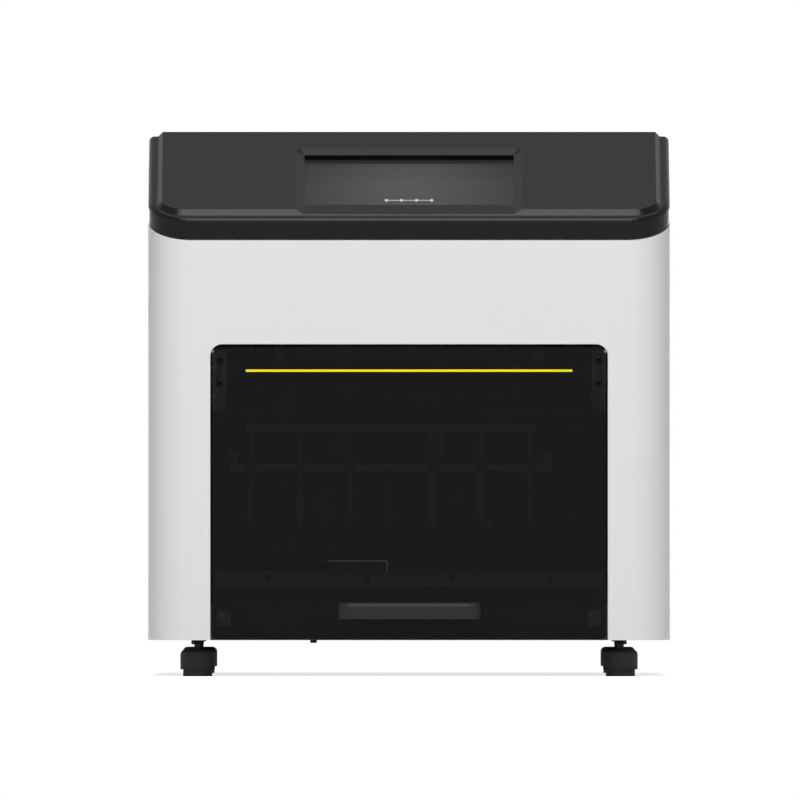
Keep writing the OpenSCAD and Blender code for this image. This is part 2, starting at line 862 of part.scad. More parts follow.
cap_points = [
  for (s = [-1, 1]) each concat(
    [
      for (i = [0 : corner_steps])
        let (
          out = front_out(s, i),
          c = front_centre(s, corner_r, 0, 0) + (corner_r - cap_edge_r) * out,
          z = slope_z(c.y) - cap_edge_r / cos(slope)
        )
        each edge_arc([c.x, c.y, z], out, slope_up)
    ],
    [
      for (i = [0 : corner_steps])
        front_centre(s, corner_r, 0, 0) + corner_r * front_out(s, i) + [0, 0, seam_z - 2]
    ],
    edge_arc(bend_centre(s), [s, 0, 0], slope_up),
    edge_arc(bend_centre(s), [s, 0, 0], flat_up),
    [
      for (i = [0 : 2])
        let (
          out = rear_out(s, i),
          c = [s * (body_w / 2 - rear_r), rear_y - rear_r, rim_z + console_rise - cap_edge_r]
        )
        each edge_arc(c + (rear_r - cap_edge_r) * out, out, flat_up)
    ],
    [for (i = [0 : 2]) [s * (body_w / 2 - rear_r), rear_y - rear_r, seam_z - 2] + rear_r * rear_out(s, i)]
  )
];

// One corner ring of the plateau: inset by c from its foot, at height up above the rim
function plateau_ring(s, c, up) = concat(
  [
    for (i = [0 : corner_steps])
      let (p = front_centre(s, plateau_r, rim_w, rim_front_w) + (plateau_r - c) * front_out(s, i))
      [p.x, p.y, slope_z(p.y) + up]
  ],
  [
    [s * (body_w / 2 - rim_w - c), break_y, rim_z + console_rise + up],
    [s * (body_w / 2 - rim_w - c), rear_y - rim_w - 5, rim_z + console_rise + up],
    [s * (body_w / 2 - rim_w - 5), rear_y - rim_w - c, rim_z + console_rise + up]
  ]
);

plateau_points = [
  for (s = [-1, 1])
    each concat(plateau_ring(s, 0, -1), plateau_ring(s, 0, 0), plateau_ring(s, plateau_h, plateau_h))
];

pocket_end = window_s + window_l;
pocket_grow = 1 + 2 / pocket_depth;
pocket_points = [
  for (s = [-1, 1]) each [
    [s * window_w / 2, -30, -pocket_depth],
    [s * window_w / 2, pocket_end, -pocket_depth],
    [s * (window_w / 2 + pocket_side * pocket_grow), -30, 2],
    [
      s * (window_w / 2 + pocket_side * pocket_grow),
      pocket_end + (pocket_top - pocket_corner_l) * pocket_grow,
      2
    ],
    [
      s * (window_w / 2 + (pocket_side - pocket_corner) * pocket_grow),
      pocket_end + pocket_top * pocket_grow,
      2
    ]
  ]
];

// A wall between two insets of the plan, between two lines parallel to the seam
module skirt_band(inset_out, inset_in, low, high) {
  intersection() {
    translate([0, 0, seam_z - 20])
      linear_extrude(console_rise + 50)
        difference() {
          plan(inset_out);
          plan(inset_in);
        }
    difference() {
      under(high);
      under(low);
    }
  }
}

module top_cover() {
  color([0.24, 0.24, 0.245]) {
    difference() {
      union() {
        hull_of(cap_points);
        hull_of(plateau_points);
      }
      under(seam_z + seam_gap);
      intersection() {
        translate([0, 0, seam_z - 20])
          linear_extrude(console_rise + 80)
            plan(wall);
        under(plateau_z - ceiling_drop);
      }
      on_console() {
        hull_of(pocket_points);
        translate([-window_w / 2, window_s, -20])
          cube([window_w, window_l, 30]);
      }
    }
    skirt_band(wall - 0.5, wall + 2, seam_z + seam_gap, seam_z + 4);
    skirt_band(wall + near, wall + 2, seam_z - tongue_h, seam_z + seam_gap + 0.1);
  }
}

module display_glass() {
  color([0.05, 0.05, 0.06])
    on_console()
      translate([-window_w / 2 - glass_lap, window_s - glass_lap, -pocket_depth - glass_depth - glass_t])
        cube([window_w + 2 * glass_lap, window_l + 2 * glass_lap, glass_t]);
}

module display_module() {
  color([0.3, 0.32, 0.34])
    on_console()
      translate([
        -window_w / 2 - module_lap,
        window_s - module_lap,
        -pocket_depth - glass_depth - glass_t - module_t
      ])
        cube([window_w + 2 * module_lap, window_l + 2 * module_lap, module_t]);
}

// ---- Chamber ----

module frame_side_plates() {
  color([0.55, 0.56, 0.58])
    for (s = [-1, 1])
      difference() {
        block(
          s > 0 ? [frame_in, frame_out] : [-frame_out, -frame_in],
          [front_y + frame_inset, frame_end],
          [base_top, frame_top]
        );
        bar_x(
          s > 0 ? boss_r + near : screw_big_r + shaft_play,
          s > 0 ? [frame_in - over, frame_out + over] : [-frame_out - over, -frame_in + over],
          x_screw_y, x_screw_z
        );
      }
}

module bulkhead() {
  color([0.5, 0.51, 0.53])
    difference() {
      block([-frame_in, frame_in], [bulkhead_y, bulkhead_y + sheet_t], [base_top, frame_top]);
      // A cable window behind the carriage
      block(
        [-cable_w / 2, cable_w / 2],
        [bulkhead_y - over, bulkhead_y + sheet_t + over],
        [deck_top + cable_z, deck_top + cable_z + cable_h]
      );
    }
}

module chamber_ceiling() {
  color([0.78, 0.79, 0.80])
    block(
      [-frame_in, frame_in],
      [front_y + frame_inset + ceiling_inset, small_plate_y - 6],
      [ceiling_z, ceiling_z + sheet_t]
    );
}

lamp_y = head_y;
lamp_z = ceiling_z - lamp_r - lamp_gap;
holder_in = lamp_l / 2 - holder_grip;

module uv_lamp() {
  color([0.85, 0.88, 0.95])
    bar_x(lamp_r, [-lamp_l / 2, lamp_l / 2], lamp_y, lamp_z);
}

module lamp_holders() {
  color([0.92, 0.92, 0.90])
    for (s = [-1, 1])
      difference() {
        block(
          s > 0 ? [holder_in, holder_in + holder_len] : [-holder_in - holder_len, -holder_in],
          [lamp_y - lamp_r - holder_wall, lamp_y + lamp_r + holder_wall],
          [lamp_z - lamp_r - holder_wall, ceiling_z]
        );
        bar_x(lamp_r + shaft_play, [-lamp_l / 2 - 0.1, lamp_l / 2 + 0.1], lamp_y, lamp_z);
      }
}

module deck() {
  color([0.72, 0.73, 0.75])
    difference() {
      block([-frame_in, frame_in], [deck_y, nest_end + deck_tail], [base_top, deck_top]);
      block(
        [-frame_in - over, frame_in + over],
        [deck_y + sheet_t, nest_end + deck_tail - sheet_t],
        [base_top - over, deck_top - sheet_t]
      );
      for (p = [-1, 1])
        block(
          [p * plate_pitch / 2 - heater_l / 2 - near, p * plate_pitch / 2 + heater_l / 2 + near],
          [head_y - heater_d / 2 - near, head_y + heater_d / 2 + near],
          [deck_top - sheet_t - over, deck_top + over]
        );
    }
}

module heater_blocks() {
  color([0.66, 0.62, 0.52])
    for (p = [-1, 1]) {
      block(
        [p * plate_pitch / 2 - heater_l / 2 - heater_lip, p * plate_pitch / 2 + heater_l / 2 + heater_lip],
        [head_y - heater_d / 2 - heater_lip, head_y + heater_d / 2 + heater_lip],
        [deck_top, deck_top + heater_top]
      );
      block(
        [p * plate_pitch / 2 - heater_l / 2, p * plate_pitch / 2 + heater_l / 2],
        [head_y - heater_d / 2, head_y + heater_d / 2],
        [deck_top - heater_low, deck_top]
      );
    }
}

module plate_nest() {
  color([0.6, 0.61, 0.63])
    difference() {
      union() {
        block([-nest_w / 2, nest_w / 2], [nest_y, nest_end], [deck_top, deck_top + nest_h]);
        block([-nest_w / 2, nest_w / 2], [nest_y, bay_y], [deck_top, deck_top + nest_front_h]);
      }
      for (p = [-1, 1])
        block(
          [p * plate_pitch / 2 - bay_l / 2, p * plate_pitch / 2 + bay_l / 2],
          [bay_y, bay_y + bay_d],
          [deck_top - over, deck_top + nest_h + over]
        );
      for (x = bar_screw_xs)
        bar_y(bar_screw_r + shaft_play, x, [nest_y - over, nest_y + nest_wall - 1], bar_z + bar_h / 2);
    }
}

module deck_front_bar() {
  color([0.5, 0.51, 0.53])
    difference() {
      block([-nest_w / 2, nest_w / 2], [bar_y, bar_y + bar_t], [bar_z, bar_z + bar_h]);
      for (x = bar_screw_xs)
        bar_y(bar_screw_r + shaft_play, x, [bar_y - over, bar_y + bar_t + over], bar_z + bar_h / 2);
    }
}

module deck_bar_screws() {
  color([0.2, 0.2, 0.21])
    for (x = bar_screw_xs)
      screw_back(
        x, bar_y, bar_z + bar_h / 2, bar_head_r, bar_head_h, bar_screw_r,
        bar_t + nest_wall - 1.5, bar_screw_r * 0.65
      );
}

// ---- X drive ----

module x_rails() {
  color([0.75, 0.76, 0.78])
    for (z = [x_low_z, x_high_z])
      lying([-frame_in + 2, frame_in - 2], bulkhead_y, z)
        rail_outline(rail_w, rail_h);
}

module x_motor() {
  color([0.15, 0.15, 0.16])
    difference() {
      union() {
        translate([frame_out, x_screw_y, x_screw_z])
          rotate([0, 90, 0])
            linear_extrude(in_w / 2 - motor_room - frame_out)
              motor_outline(motor_side);
        bar_x(boss_r, [frame_out - boss_h, frame_out], x_screw_y, x_screw_z);
      }
      bar_x(
        screw_big_r + shaft_play,
        [frame_out - boss_h - over, frame_out + screw_end + 1],
        x_screw_y, x_screw_z
      );
    }
}

module x_screw() {
  color([0.7, 0.71, 0.73])
    bar_x(screw_big_r, [-frame_out, frame_out + screw_end], x_screw_y, x_screw_z);
}

module x_carriage() {
  color([0.68, 0.69, 0.71])
    difference() {
      union() {
        block(
          [head_x - carriage_w / 2, head_x + carriage_w / 2],
          [carriage_y, carriage_y + plate_t],
          [carriage_low, big_motor_z]
        );
        // The motor's shelf
        block(
          [head_x - motor_side / 2 - 2, head_x + motor_side / 2 + 2],
          [z_screw_y - motor_side / 2, carriage_y + 0.1],
          [big_motor_z - shelf_t, big_motor_z]
        );
        // The screw's foot bearing
        block(
          [head_x - bearing_w / 2, head_x + bearing_w / 2],
          [z_screw_y - bearing_r, carriage_y + 0.1],
          [carriage_low, carriage_low + bearing_h]
        );
        // The drive nut for the X screw
        block(
          [head_x - x_nut_l / 2, head_x + x_nut_l / 2],
          [carriage_y + plate_t - 0.1, bulkhead_y - 0.5],
          [x_screw_z - x_nut_h / 2, x_screw_z + x_nut_h / 2]
        );
      }
      bar_z(
        screw_big_r + shaft_play,
        head_x, z_screw_y,
        [carriage_low - over, carriage_low + bearing_h + over]
      );
      bar_z(boss_r + near, head_x, z_screw_y, [big_motor_z - shelf_t - over, big_motor_z + over]);
      bar_x(
        screw_big_r + shaft_play,
        [head_x - x_nut_l / 2 - over, head_x + x_nut_l / 2 + over],
        x_screw_y, x_screw_z
      );
    }
}

module x_carriage_blocks() {
  color([0.8, 0.81, 0.82])
    for (s = [-1, 1], z = [x_low_z, x_high_z])
      lying([head_x + s * rail_dx - block_l / 2, head_x + s * rail_dx + block_l / 2], bulkhead_y, z)
        block_outline(block_w, block_h, rail_w, rail_h);
}

// ---- Lift ----

module z_rails() {
  color([0.75, 0.76, 0.78])
    for (s = [-1, 1])
      upright(head_x + s * rail_dx, carriage_y, [z_rail_low, z_rail_high])
        rail_outline(rail_w, rail_h);
}

module z_motor() {
  color([0.15, 0.15, 0.16])
    difference() {
      union() {
        translate([head_x, z_screw_y, big_motor_z])
          linear_extrude(motor_l)
            motor_outline(motor_side);
        bar_z(boss_r, head_x, z_screw_y, [big_motor_z - boss_h, big_motor_z]);
      }
      bar_z(
        screw_big_r + shaft_play,
        head_x, z_screw_y,
        [big_motor_z - boss_h - over, big_motor_z + screw_end + 1]
      );
    }
}

module z_screw() {
  color([0.7, 0.71, 0.73])
    bar_z(screw_big_r, head_x, z_screw_y, [carriage_low + 0.5, big_motor_z + screw_end]);
}

arm_in = comb_w / 2 + 0.2;
arm_out = arm_in + arm_t;
lift_nut_z = head_z + lift_nut_up;

module lift_frame() {
  color([0.62, 0.63, 0.66])
    difference() {
      union() {
        block(
          [head_x - arm_out, head_x + arm_out],
          [lift_y, lift_y + plate_t],
          [head_z, head_z + lift_foot_h]
        );
        block(
          [head_x - lift_plate_w / 2, head_x + lift_plate_w / 2],
          [lift_y, lift_y + plate_t],
          [head_z, lift_top]
        );
        for (s = [-1, 1]) {
          block(
            [head_x + (s > 0 ? arm_in : -arm_out), head_x + (s > 0 ? arm_out : -arm_in)],
            [head_y - comb_d / 2 + 1, lift_y + 0.1],
            [head_z, comb_top - 0.5]
          );
          block(
            s > 0
              ? [head_x + arm_in - ledge_w, head_x + arm_in]
              : [head_x - arm_in, head_x - arm_in + ledge_w],
            [head_y - comb_d / 2 + 1, lift_y + 0.1],
            [head_z, comb_z]
          );
        }
        // The small motor's shelf
        block(
          [head_x - small_motor_side / 2 - 2, head_x + small_motor_side / 2 + 2],
          [small_screw_y - small_motor_side / 2, lift_y + plate_t],
          [lift_top - 0.1, small_motor_z]
        );
        // The nut for the lift screw
        block(
          [head_x - lift_nut_w / 2, head_x + lift_nut_w / 2],
          [lift_y + plate_t - 0.1, carriage_y - 0.5],
          [lift_nut_z - lift_nut_h / 2, lift_nut_z + lift_nut_h / 2]
        );
      }
      bar_z(
        screw_big_r + shaft_play,
        head_x, z_screw_y,
        [lift_nut_z - lift_nut_h / 2 - over, lift_nut_z + lift_nut_h / 2 + over]
      );
      bar_z(screw_small_r + shaft_play, head_x, small_screw_y, [lift_top - over, small_motor_z + over]);
      for (s = [-1, 1])
        bar_z(thumb_thread_r + shaft_play, head_x + s * thumb_x, thumb_y, [head_z - over, comb_z + over]);
    }
}

module lift_blocks() {
  color([0.8, 0.81, 0.82])
    for (s = [-1, 1], z = lift_block_zs)
      upright(head_x + s * rail_dx, carriage_y, [z - block_l / 2, z + block_l / 2])
        block_outline(block_w, block_h, rail_w, rail_h);
}

thumb_y = head_y - 22;

module comb_holder() {
  color([0.7, 0.71, 0.73])
    difference() {
      block(
        [head_x - comb_w / 2, head_x + comb_w / 2],
        [head_y - comb_d / 2, head_y + comb_d / 2],
        [comb_z, comb_top]
      );
      for (x = row_xs) {
        block(
          [x - slot_w / 2, x + slot_w / 2],
          [head_y - comb_d / 2 - over, head_y + row_reach],
          [comb_z - over, comb_top + over]
        );
        bar_z(slot_w / 2, x, head_y + row_reach, [comb_z - over, comb_top + over]);
      }
      for (s = [-1, 1])
        bar_z(thumb_thread_r + near, head_x + s * thumb_x, thumb_y, [comb_z - over, comb_top + over]);
    }
}

module sleeve_combs() {
  color([0.86, 0.88, 0.90, 0.6])
    for (x = row_xs)
      difference() {
        union() {
          block(
            [x - comb_flange_w / 2, x + comb_flange_w / 2],
            [head_y - row_reach - comb_front, head_y + row_reach + comb_rear],
            [comb_top, comb_top + comb_flange_t]
          );
          for (y = rod_ys) {
            bar_z(sleeve_r, x, y, [sleeve_z + sleeve_r, comb_top + 0.1]);
            translate([x, y, sleeve_z + sleeve_r])
              sphere(r = sleeve_r);
          }
        }
        for (y = rod_ys) {
          bar_z(sleeve_in_r, x, y, [sleeve_z + sleeve_r, comb_top + comb_flange_t + over]);
          translate([x, y, sleeve_z + sleeve_r])
            sphere(r = sleeve_in_r);
        }
      }
}

module magnet_rails() {
  color([0.75, 0.76, 0.78])
    for (s = [-1, 1])
      upright(
        head_x + s * small_rail_dx, lift_y,
        [magnet_z - magnet_down + 2, magnet_z + head_plate_h + magnet_up]
      )
        rail_outline(small_rail_w, small_rail_h);
}

module magnet_motor() {
  color([0.15, 0.15, 0.16])
    difference() {
      translate([head_x, small_screw_y, small_motor_z])
        linear_extrude(small_motor_l)
          motor_outline(small_motor_side);
      bar_z(
        screw_small_r + shaft_play,
        head_x, small_screw_y,
        [small_motor_z - over, small_motor_z + screw_end]
      );
    }
}

module magnet_screw() {
  color([0.7, 0.71, 0.73])
    bar_z(screw_small_r, head_x, small_screw_y, [magnet_z - magnet_down - 2, small_motor_z + screw_end - 1]);
}

head_plate_z = magnet_z + head_plate_h / 2;

module magnet_carriage() {
  color([0.62, 0.63, 0.66])
    difference() {
      union() {
        block(
          [head_x - head_plate_w / 2, head_x + head_plate_w / 2],
          [small_plate_y, small_plate_y + plate_t],
          [magnet_z, magnet_z + head_plate_h]
        );
        for (s = [-1, 1])
          upright(
            head_x + s * small_rail_dx, lift_y,
            [head_plate_z - small_block_l / 2, head_plate_z + small_block_l / 2]
          )
            block_outline(small_block_w, small_block_h + 0.1, small_rail_w, small_rail_h);
        block(
          [head_x - small_nut_w / 2, head_x + small_nut_w / 2],
          [small_plate_y + plate_t - 0.1, lift_y - 0.5],
          [head_plate_z - small_nut_h / 2, head_plate_z + small_nut_h / 2]
        );
      }
      bar_z(
        screw_small_r + shaft_play,
        head_x, small_screw_y,
        [head_plate_z - small_nut_h / 2 - over, head_plate_z + small_nut_h / 2 + over]
      );
    }
}

module magnet_plate() {
  color([0.66, 0.67, 0.70])
    block(
      [head_x - magnet_w / 2, head_x + magnet_w / 2],
      [head_y - row_reach - 6, small_plate_y],
      [magnet_z, magnet_top]
    );
}

module magnet_rods() {
  color([0.8, 0.8, 0.82])
    for (x = row_xs, y = rod_ys)
      translate([x, y, 0])
        rotate_extrude() {
          translate([0, rod_z + rod_r])
            square([rod_r, magnet_z - rod_z - rod_r]);
          intersection() {
            translate([0, rod_z + rod_r])
              circle(r = rod_r);
            translate([0, rod_z])
              square([rod_r, rod_r]);
          }
        }
}

module thumbscrew(s) {
  color([0.78, 0.78, 0.80]) {
    bar_z(thumb_r, head_x + s * thumb_x, thumb_y, [comb_top + neck_h, comb_top + neck_h + thumb_h]);
    bar_z(neck_r, head_x + s * thumb_x, thumb_y, [comb_top, comb_top + neck_h]);
    bar_z(thumb_thread_r, head_x + s * thumb_x, thumb_y, [head_z, comb_top]);
  }
}

module thumbscrew_left() thumbscrew(-1);
module thumbscrew_right() thumbscrew(1);

// ---- Door ----

// Depth of the housing's inner face at a distance x from the middle
function inner_front(x) =
  let (along = max(0, x - (body_w / 2 - corner_r)))
  front_y + corner_r - sqrt((corner_r - wall) ^ 2 - along ^ 2);

module hinge_brackets() {
  color([0.4, 0.41, 0.43])
    for (s = [-1, 1])
      difference() {
        block(
          s > 0 ? [frame_out, frame_out + bracket_t] : [-frame_out - bracket_t, -frame_out],
          [inner_front(frame_out + bracket_t) + near, front_y + frame_inset + bracket_reach],
          [pivot_z - bracket_h / 2, pivot_z + bracket_h / 2]
        );
        bar_x(
          pin_r + 0.02,
          s > 0
            ? [frame_out - over, frame_out + bracket_t + over]
            : [-frame_out - bracket_t - over, -frame_out + over],
          pivot_y, pivot_z
        );
      }
}

module hinge_pins() {
  color([0.8, 0.8, 0.82])
    for (s = [-1, 1])
      bar_x(
        pin_r,
        s > 0
          ? [hinge_x - leaf_w / 2, frame_out + bracket_t]
          : [-frame_out - bracket_t, leaf_w / 2 - hinge_x],
        pivot_y, pivot_z
      );
}

module hinge_leaves() {
  color([0.3, 0.31, 0.33])
    for (s = [-1, 1])
      difference() {
        union() {
          block(
            [s * hinge_x - leaf_w / 2, s * hinge_x + leaf_w / 2],
            [door_back, door_back + leaf_t],
            [leaf_z, leaf_z + leaf_h]
          );
          bar_x(knuckle_r, [s * hinge_x - leaf_w / 2, s * hinge_x + leaf_w / 2], pivot_y, pivot_z);
        }
        bar_x(pin_r + shaft_play, [s * hinge_x - leaf_w, s * hinge_x + leaf_w], pivot_y, pivot_z);
        bar_y(screw_r + shaft_play, s * hinge_x, [front_y, door_back + leaf_t + over], screw_zs[0]);
      }
}

module door_panel() {
  color([0.10, 0.10, 0.11, 0.9])
    difference() {
      facing([front_y, door_back])
        rounded(door_w, door_z, door_top, door_low_r, door_r);
      // The upper front edge is broken so that it clears the housing as it swings in
      translate([0, front_y, door_top])
        rotate([45, 0, 0])
          cube([door_w + 2, door_chamfer * sqrt(2), door_chamfer * sqrt(2)], center = true);
      block(
        [-stripe_w / 2, stripe_w / 2],
        [front_y - over, front_y + stripe_t],
        [door_top - stripe_drop - stripe_h / 2, door_top - stripe_drop + stripe_h / 2]
      );
      for (s = [-1, 1], z = screw_zs) {
        bar_y(screw_r + near, s * hinge_x, [front_y - over, door_back + over], z);
        bar_y(screw_sink_r, s * hinge_x, [front_y - over, front_y + screw_sink], z);
      }
    }
}

module door_stripe() {
  color([0.98, 0.88, 0.12])
    block(
      [-stripe_w / 2, stripe_w / 2],
      [front_y, front_y + stripe_t],
      [door_top - stripe_drop - stripe_h / 2, door_top - stripe_drop + stripe_h / 2]
    );
}

// A slice of the handle, seen from above, at height z above its lower edge and drawn in by c
module handle_slice(z, c) {
  translate([0, 0, handle_low + z])
    linear_extrude(0.01)
      difference() {
        rounded(handle_w - 2 * c, front_y - handle_out + c, front_y + 20, handle_r, 2);
        translate([-handle_w, front_y])
          square([2 * handle_w, 40]);
      }
}

module door_handle() {
  color([0.2, 0.2, 0.21])
    hull($fn = 32) {
      handle_slice(0, 0.6);
      handle_slice(0.6, 0);
      handle_slice(handle_h - handle_chamfer, 0);
      handle_slice(handle_h - 0.9, handle_chamfer * 0.45);
      handle_slice(handle_h - 0.01, handle_chamfer);
    }
}

module door_hinge_screws() {
  color([0.12, 0.12, 0.13])
    for (s = [-1, 1], k = [0, 1])
      screw_back(
        s * hinge_x, front_y + screw_sink, screw_zs[k], screw_head_r, screw_head_h, screw_r,
        k == 0 ? door_t - screw_sink + leaf_t : door_t - screw_sink - 0.2, screw_key_r
      );
}

module door_catch_plates() {
  color([0.7, 0.71, 0.73])
    for (s = [-1, 1])
      translate([s * catch_x, door_back, door_z + catch_z])
        block([-catch_w / 2, catch_w / 2], [0, catch_t], [0, catch_h]);
}

module door_magnets() {
  color([0.35, 0.36, 0.42])
    for (s = [-1, 1])
      translate([s * catch_x, 0, door_z + catch_z])
        block([-catch_w / 2, catch_w / 2], [door_back + catch_t + near, deck_y], [0, catch_h]);
}

module door_bumpers() {
  color([0.1, 0.1, 0.1])
    for (s = [-1, 1])
      facing([door_back + near, deck_y])
        translate([s * bumper_x, door_z + bumper_z])
          intersection() {
            circle(r = bumper_r);
            translate([-bumper_r - 1, 0])
              square([2 * bumper_r + 2, bumper_r + 1]);
          }
}

// ---- Rear and inside ----

module power_supply() {
  color([0.75, 0.75, 0.74])
    translate([supply_x, frame_end + 4, base_top])
      block([-supply_w, 0], [0, supply_l], [0, supply_h]);
}

module control_board() {
  color([0.1, 0.4, 0.2]) {
    translate([board_x, frame_end + 10, base_top]) {
      block([0, board_l], [0, board_d], [pillar_h, pillar_h + board_t]);
      for (x = [6, board_l - 6], y = [6, board_d - 6])
        bar_z(3, x, y, [0, pillar_h + 0.1]);
      // The processor and a terminal block
      block([40, 70], [30, 60], [pillar_h + board_t - 0.1, pillar_h + board_t + 4.4]);
      block([90, 130], [80, 102], [pillar_h + board_t - 0.1, pillar_h + board_t + 10.4]);
    }
  }
}

module power_inlet() {
  color([0.1, 0.1, 0.1])
    difference() {
      union() {
        facing_block([inlet_x, socket_z], [27, 19.6], [panel_y - 20, panel_y + rear_t]);
        facing_block([inlet_x, socket_z], [30.8, 23.6], [panel_y + rear_t, rear_y - 0.2]);
      }
      facing_block([inlet_x, socket_z], [23.8, 15.8], [panel_y - 14, rear_y]);
    }
  // The line, neutral and earth pins
  color([0.8, 0.8, 0.8])
    for (p = [[-7, -2], [0, 2], [7, -2]])
      facing_block([inlet_x, socket_z] + p, [2, 4], [panel_y - 14.1, panel_y - 3]);
}

rocker_y = panel_y - 3.2;
rocker_rise = 2.4;
rocker_tip = rocker_rise + 10 * tan(rocker_swing / 2);

module switch_frame() {
  color([0.1, 0.1, 0.1])
    difference() {
      union() {
        facing_block([switch_x, socket_z], [18.8, 25.6], [panel_y - 14, panel_y + rear_t]);
        facing_block([switch_x, socket_z], [21, 30], [panel_y + rear_t, rear_y - 0.4]);
      }
      facing_block([switch_x, socket_z], [14, 23], [panel_y - 11, rear_y]);
      bar_x(1.5 + shaft_play, [switch_x - 8.5, switch_x + 8.5], rocker_y, socket_z);
    }
}

// The rocker's face is a shallow V; at rest its lower half is pressed in
module rocker() {
  color([0.14, 0.14, 0.15]) {
    translate([switch_x, rocker_y, socket_z])
      rotate([-rocker_swing / 2, 0, 0])
        rotate([90, 0, 90])
          linear_extrude(13.4, center = true)
            polygon([
              [rocker_rise, 0], [rocker_tip, 10], [-3, 9.4],
              [-4.5, 0], [-3, -9.4], [rocker_tip, -10]
            ]);
    bar_x(1.5, [switch_x - 8.3, switch_x + 8.3], rocker_y, socket_z);
  }
}

module data_ports() {
  color([0.6, 0.6, 0.62])
    difference() {
      facing_block([ports_x, socket_z], [47.2, 15.6], [panel_y - 16, panel_y + rear_t - 0.4]);
      block([ports_x - 21, ports_x - 9.2], [panel_y - 12, panel_y + 5], [socket_z - 5, socket_z + 3.5]);
      for (x = [ports_x - 4, ports_x + 10.5])
        difference() {
          block([x, x + 13.2], [panel_y - 12, panel_y + 5], [socket_z - 2.7, socket_z + 2.7]);
          block([x + 1, x + 12.2], [panel_y - 13, panel_y + rear_t - 1], [socket_z + 0.4, socket_z + 2.2]);
        }
    }
}

fan_front = panel_y - fan_t;
fan_bore_r = fan_side * 0.475;
hub_r = fan_side * 0.21;

module fan_frame() {
  color([0.12, 0.12, 0.12])
    difference() {
      facing([fan_front, panel_y])
        translate([fan_x, fan_z])
          difference() {
            square(fan_side, center = true);
            for (a = [45 : 90 : 315])
              rotate(a)
                translate([fan_side * 0.63, 0])
                  circle(r = 2.15);
          }
      difference() {
        bar_y(fan_bore_r, fan_x, [fan_front - over, panel_y + over], fan_z);
        // The motor cup and its struts stay, on the inner side
        bar_y(hub_r, fan_x, [fan_front, fan_front + 4], fan_z);
        for (a = [0, 90, 180, 270])
          translate([fan_x, fan_front, fan_z])
            rotate([0, a, 0])
              translate([0, 0, -2])
                cube([fan_side / 2, 3, 4]);
      }
      bar_y(1.5 + shaft_play, fan_x, [fan_front + 1, panel_y], fan_z);
    }
}

module fan_rotor() {
  color([0.16, 0.16, 0.17]) {
    bar_y(hub_r, fan_x, [fan_front + 4.5, panel_y - 2], fan_z);
    bar_y(1.5, fan_x, [fan_front + 1.5, fan_front + 5], fan_z);
    intersection() {
      difference() {
        bar_y(fan_bore_r - 1, fan_x, [fan_front + 5, panel_y - 2.5], fan_z);
        bar_y(hub_r - 1, fan_x, [fan_front, panel_y], fan_z);
      }
      for (k = [0 : 6])
        translate([fan_x, (fan_front + panel_y) / 2, fan_z])
          rotate([0, k * 360 / 7, 0])
            rotate([40, 0, 0])
              translate([0, -14, -0.8])
                cube([fan_bore_r, 28, 1.6]);
    }
  }
}

// ---- Feet ----

module foot_nuts() {
  color([0.6, 0.6, 0.62])
    for (x = [-foot_x, foot_x], y = [foot_front_y, foot_rear_y])
      translate([x, y, base_z - nut_h])
        difference() {
          cylinder(r = nut_w / sqrt(3), h = nut_h, $fn = 6);
          translate([0, 0, -over])
            cylinder(r = stud_r + shaft_play, h = nut_h + 2 * over);
        }
}

module underside_screw() {
  color([0.2, 0.2, 0.21])
    bar_z(nub_r, nub_x, front_y + 24, [base_z - nub_h, base_z]);
}

module foot(x, y) {
  color([0.09, 0.09, 0.09])
    translate([x, y, 0])
      rotate_extrude() {
        square([pad_base_r, pad_base_h + 0.1]);
        translate([0, pad_base_h])
          square([pad_r, pad_dome_h - pad_edge_r]);
        translate([0, pad_base_h])
          square([pad_r - pad_edge_r, pad_dome_h]);
        translate([pad_r - pad_edge_r, pad_base_h + pad_dome_h - pad_edge_r])
          circle(r = pad_edge_r);
        translate([0, pad_base_h])
          square([stud_r, pad_dome_h + stud_gap + nut_h + base_t + 8]);
      }
}

module foot_front_left() foot(-foot_x, foot_front_y);
module foot_front_right() foot(foot_x, foot_front_y);
module foot_rear_left() foot(-foot_x, foot_rear_y);
module foot_rear_right() foot(foot_x, foot_rear_y);

outer_housing();
base_plate();
rear_panel();
top_cover();
display_glass();
display_module();
frame_side_plates();
bulkhead();
chamber_ceiling();
uv_lamp();
lamp_holders();
deck();
heater_blocks();
plate_nest();
deck_front_bar();
deck_bar_screws();
x_rails();
x_motor();
x_screw();
x_carriage();
x_carriage_blocks();
z_rails();
z_motor();
z_screw();
lift_frame();
lift_blocks();
comb_holder();
sleeve_combs();
magnet_rails();
magnet_motor();
magnet_screw();
magnet_carriage();
magnet_plate();
magnet_rods();
thumbscrew_left();
thumbscrew_right();
hinge_brackets();
hinge_pins();
door_magnets();
door_bumpers();
door_panel();
door_stripe();
door_handle();
hinge_leaves();
door_hinge_screws();
door_catch_plates();
power_supply();
control_board();
power_inlet();
switch_frame();
rocker();
data_ports();
fan_frame();
fan_rotor();
foot_nuts();
underside_screw();
foot_front_left();
foot_front_right();
foot_rear_left();
foot_rear_right();
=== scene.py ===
# %% [markdown]
# # Dressing a bench-top nucleic acid extractor
# The machine's exact solids come from a CAD model. This lesson loads them as a fixed frame and gives every
# surface a finish made from nodes. Small things that the CAD model leaves plain, such as screw threads,
# knurls and socket heads, are modelled here with bmesh. All lengths are in metres.

# %% Load the fixed frame
import json
import math
import bmesh
import bpy
from mathutils import Matrix, Vector


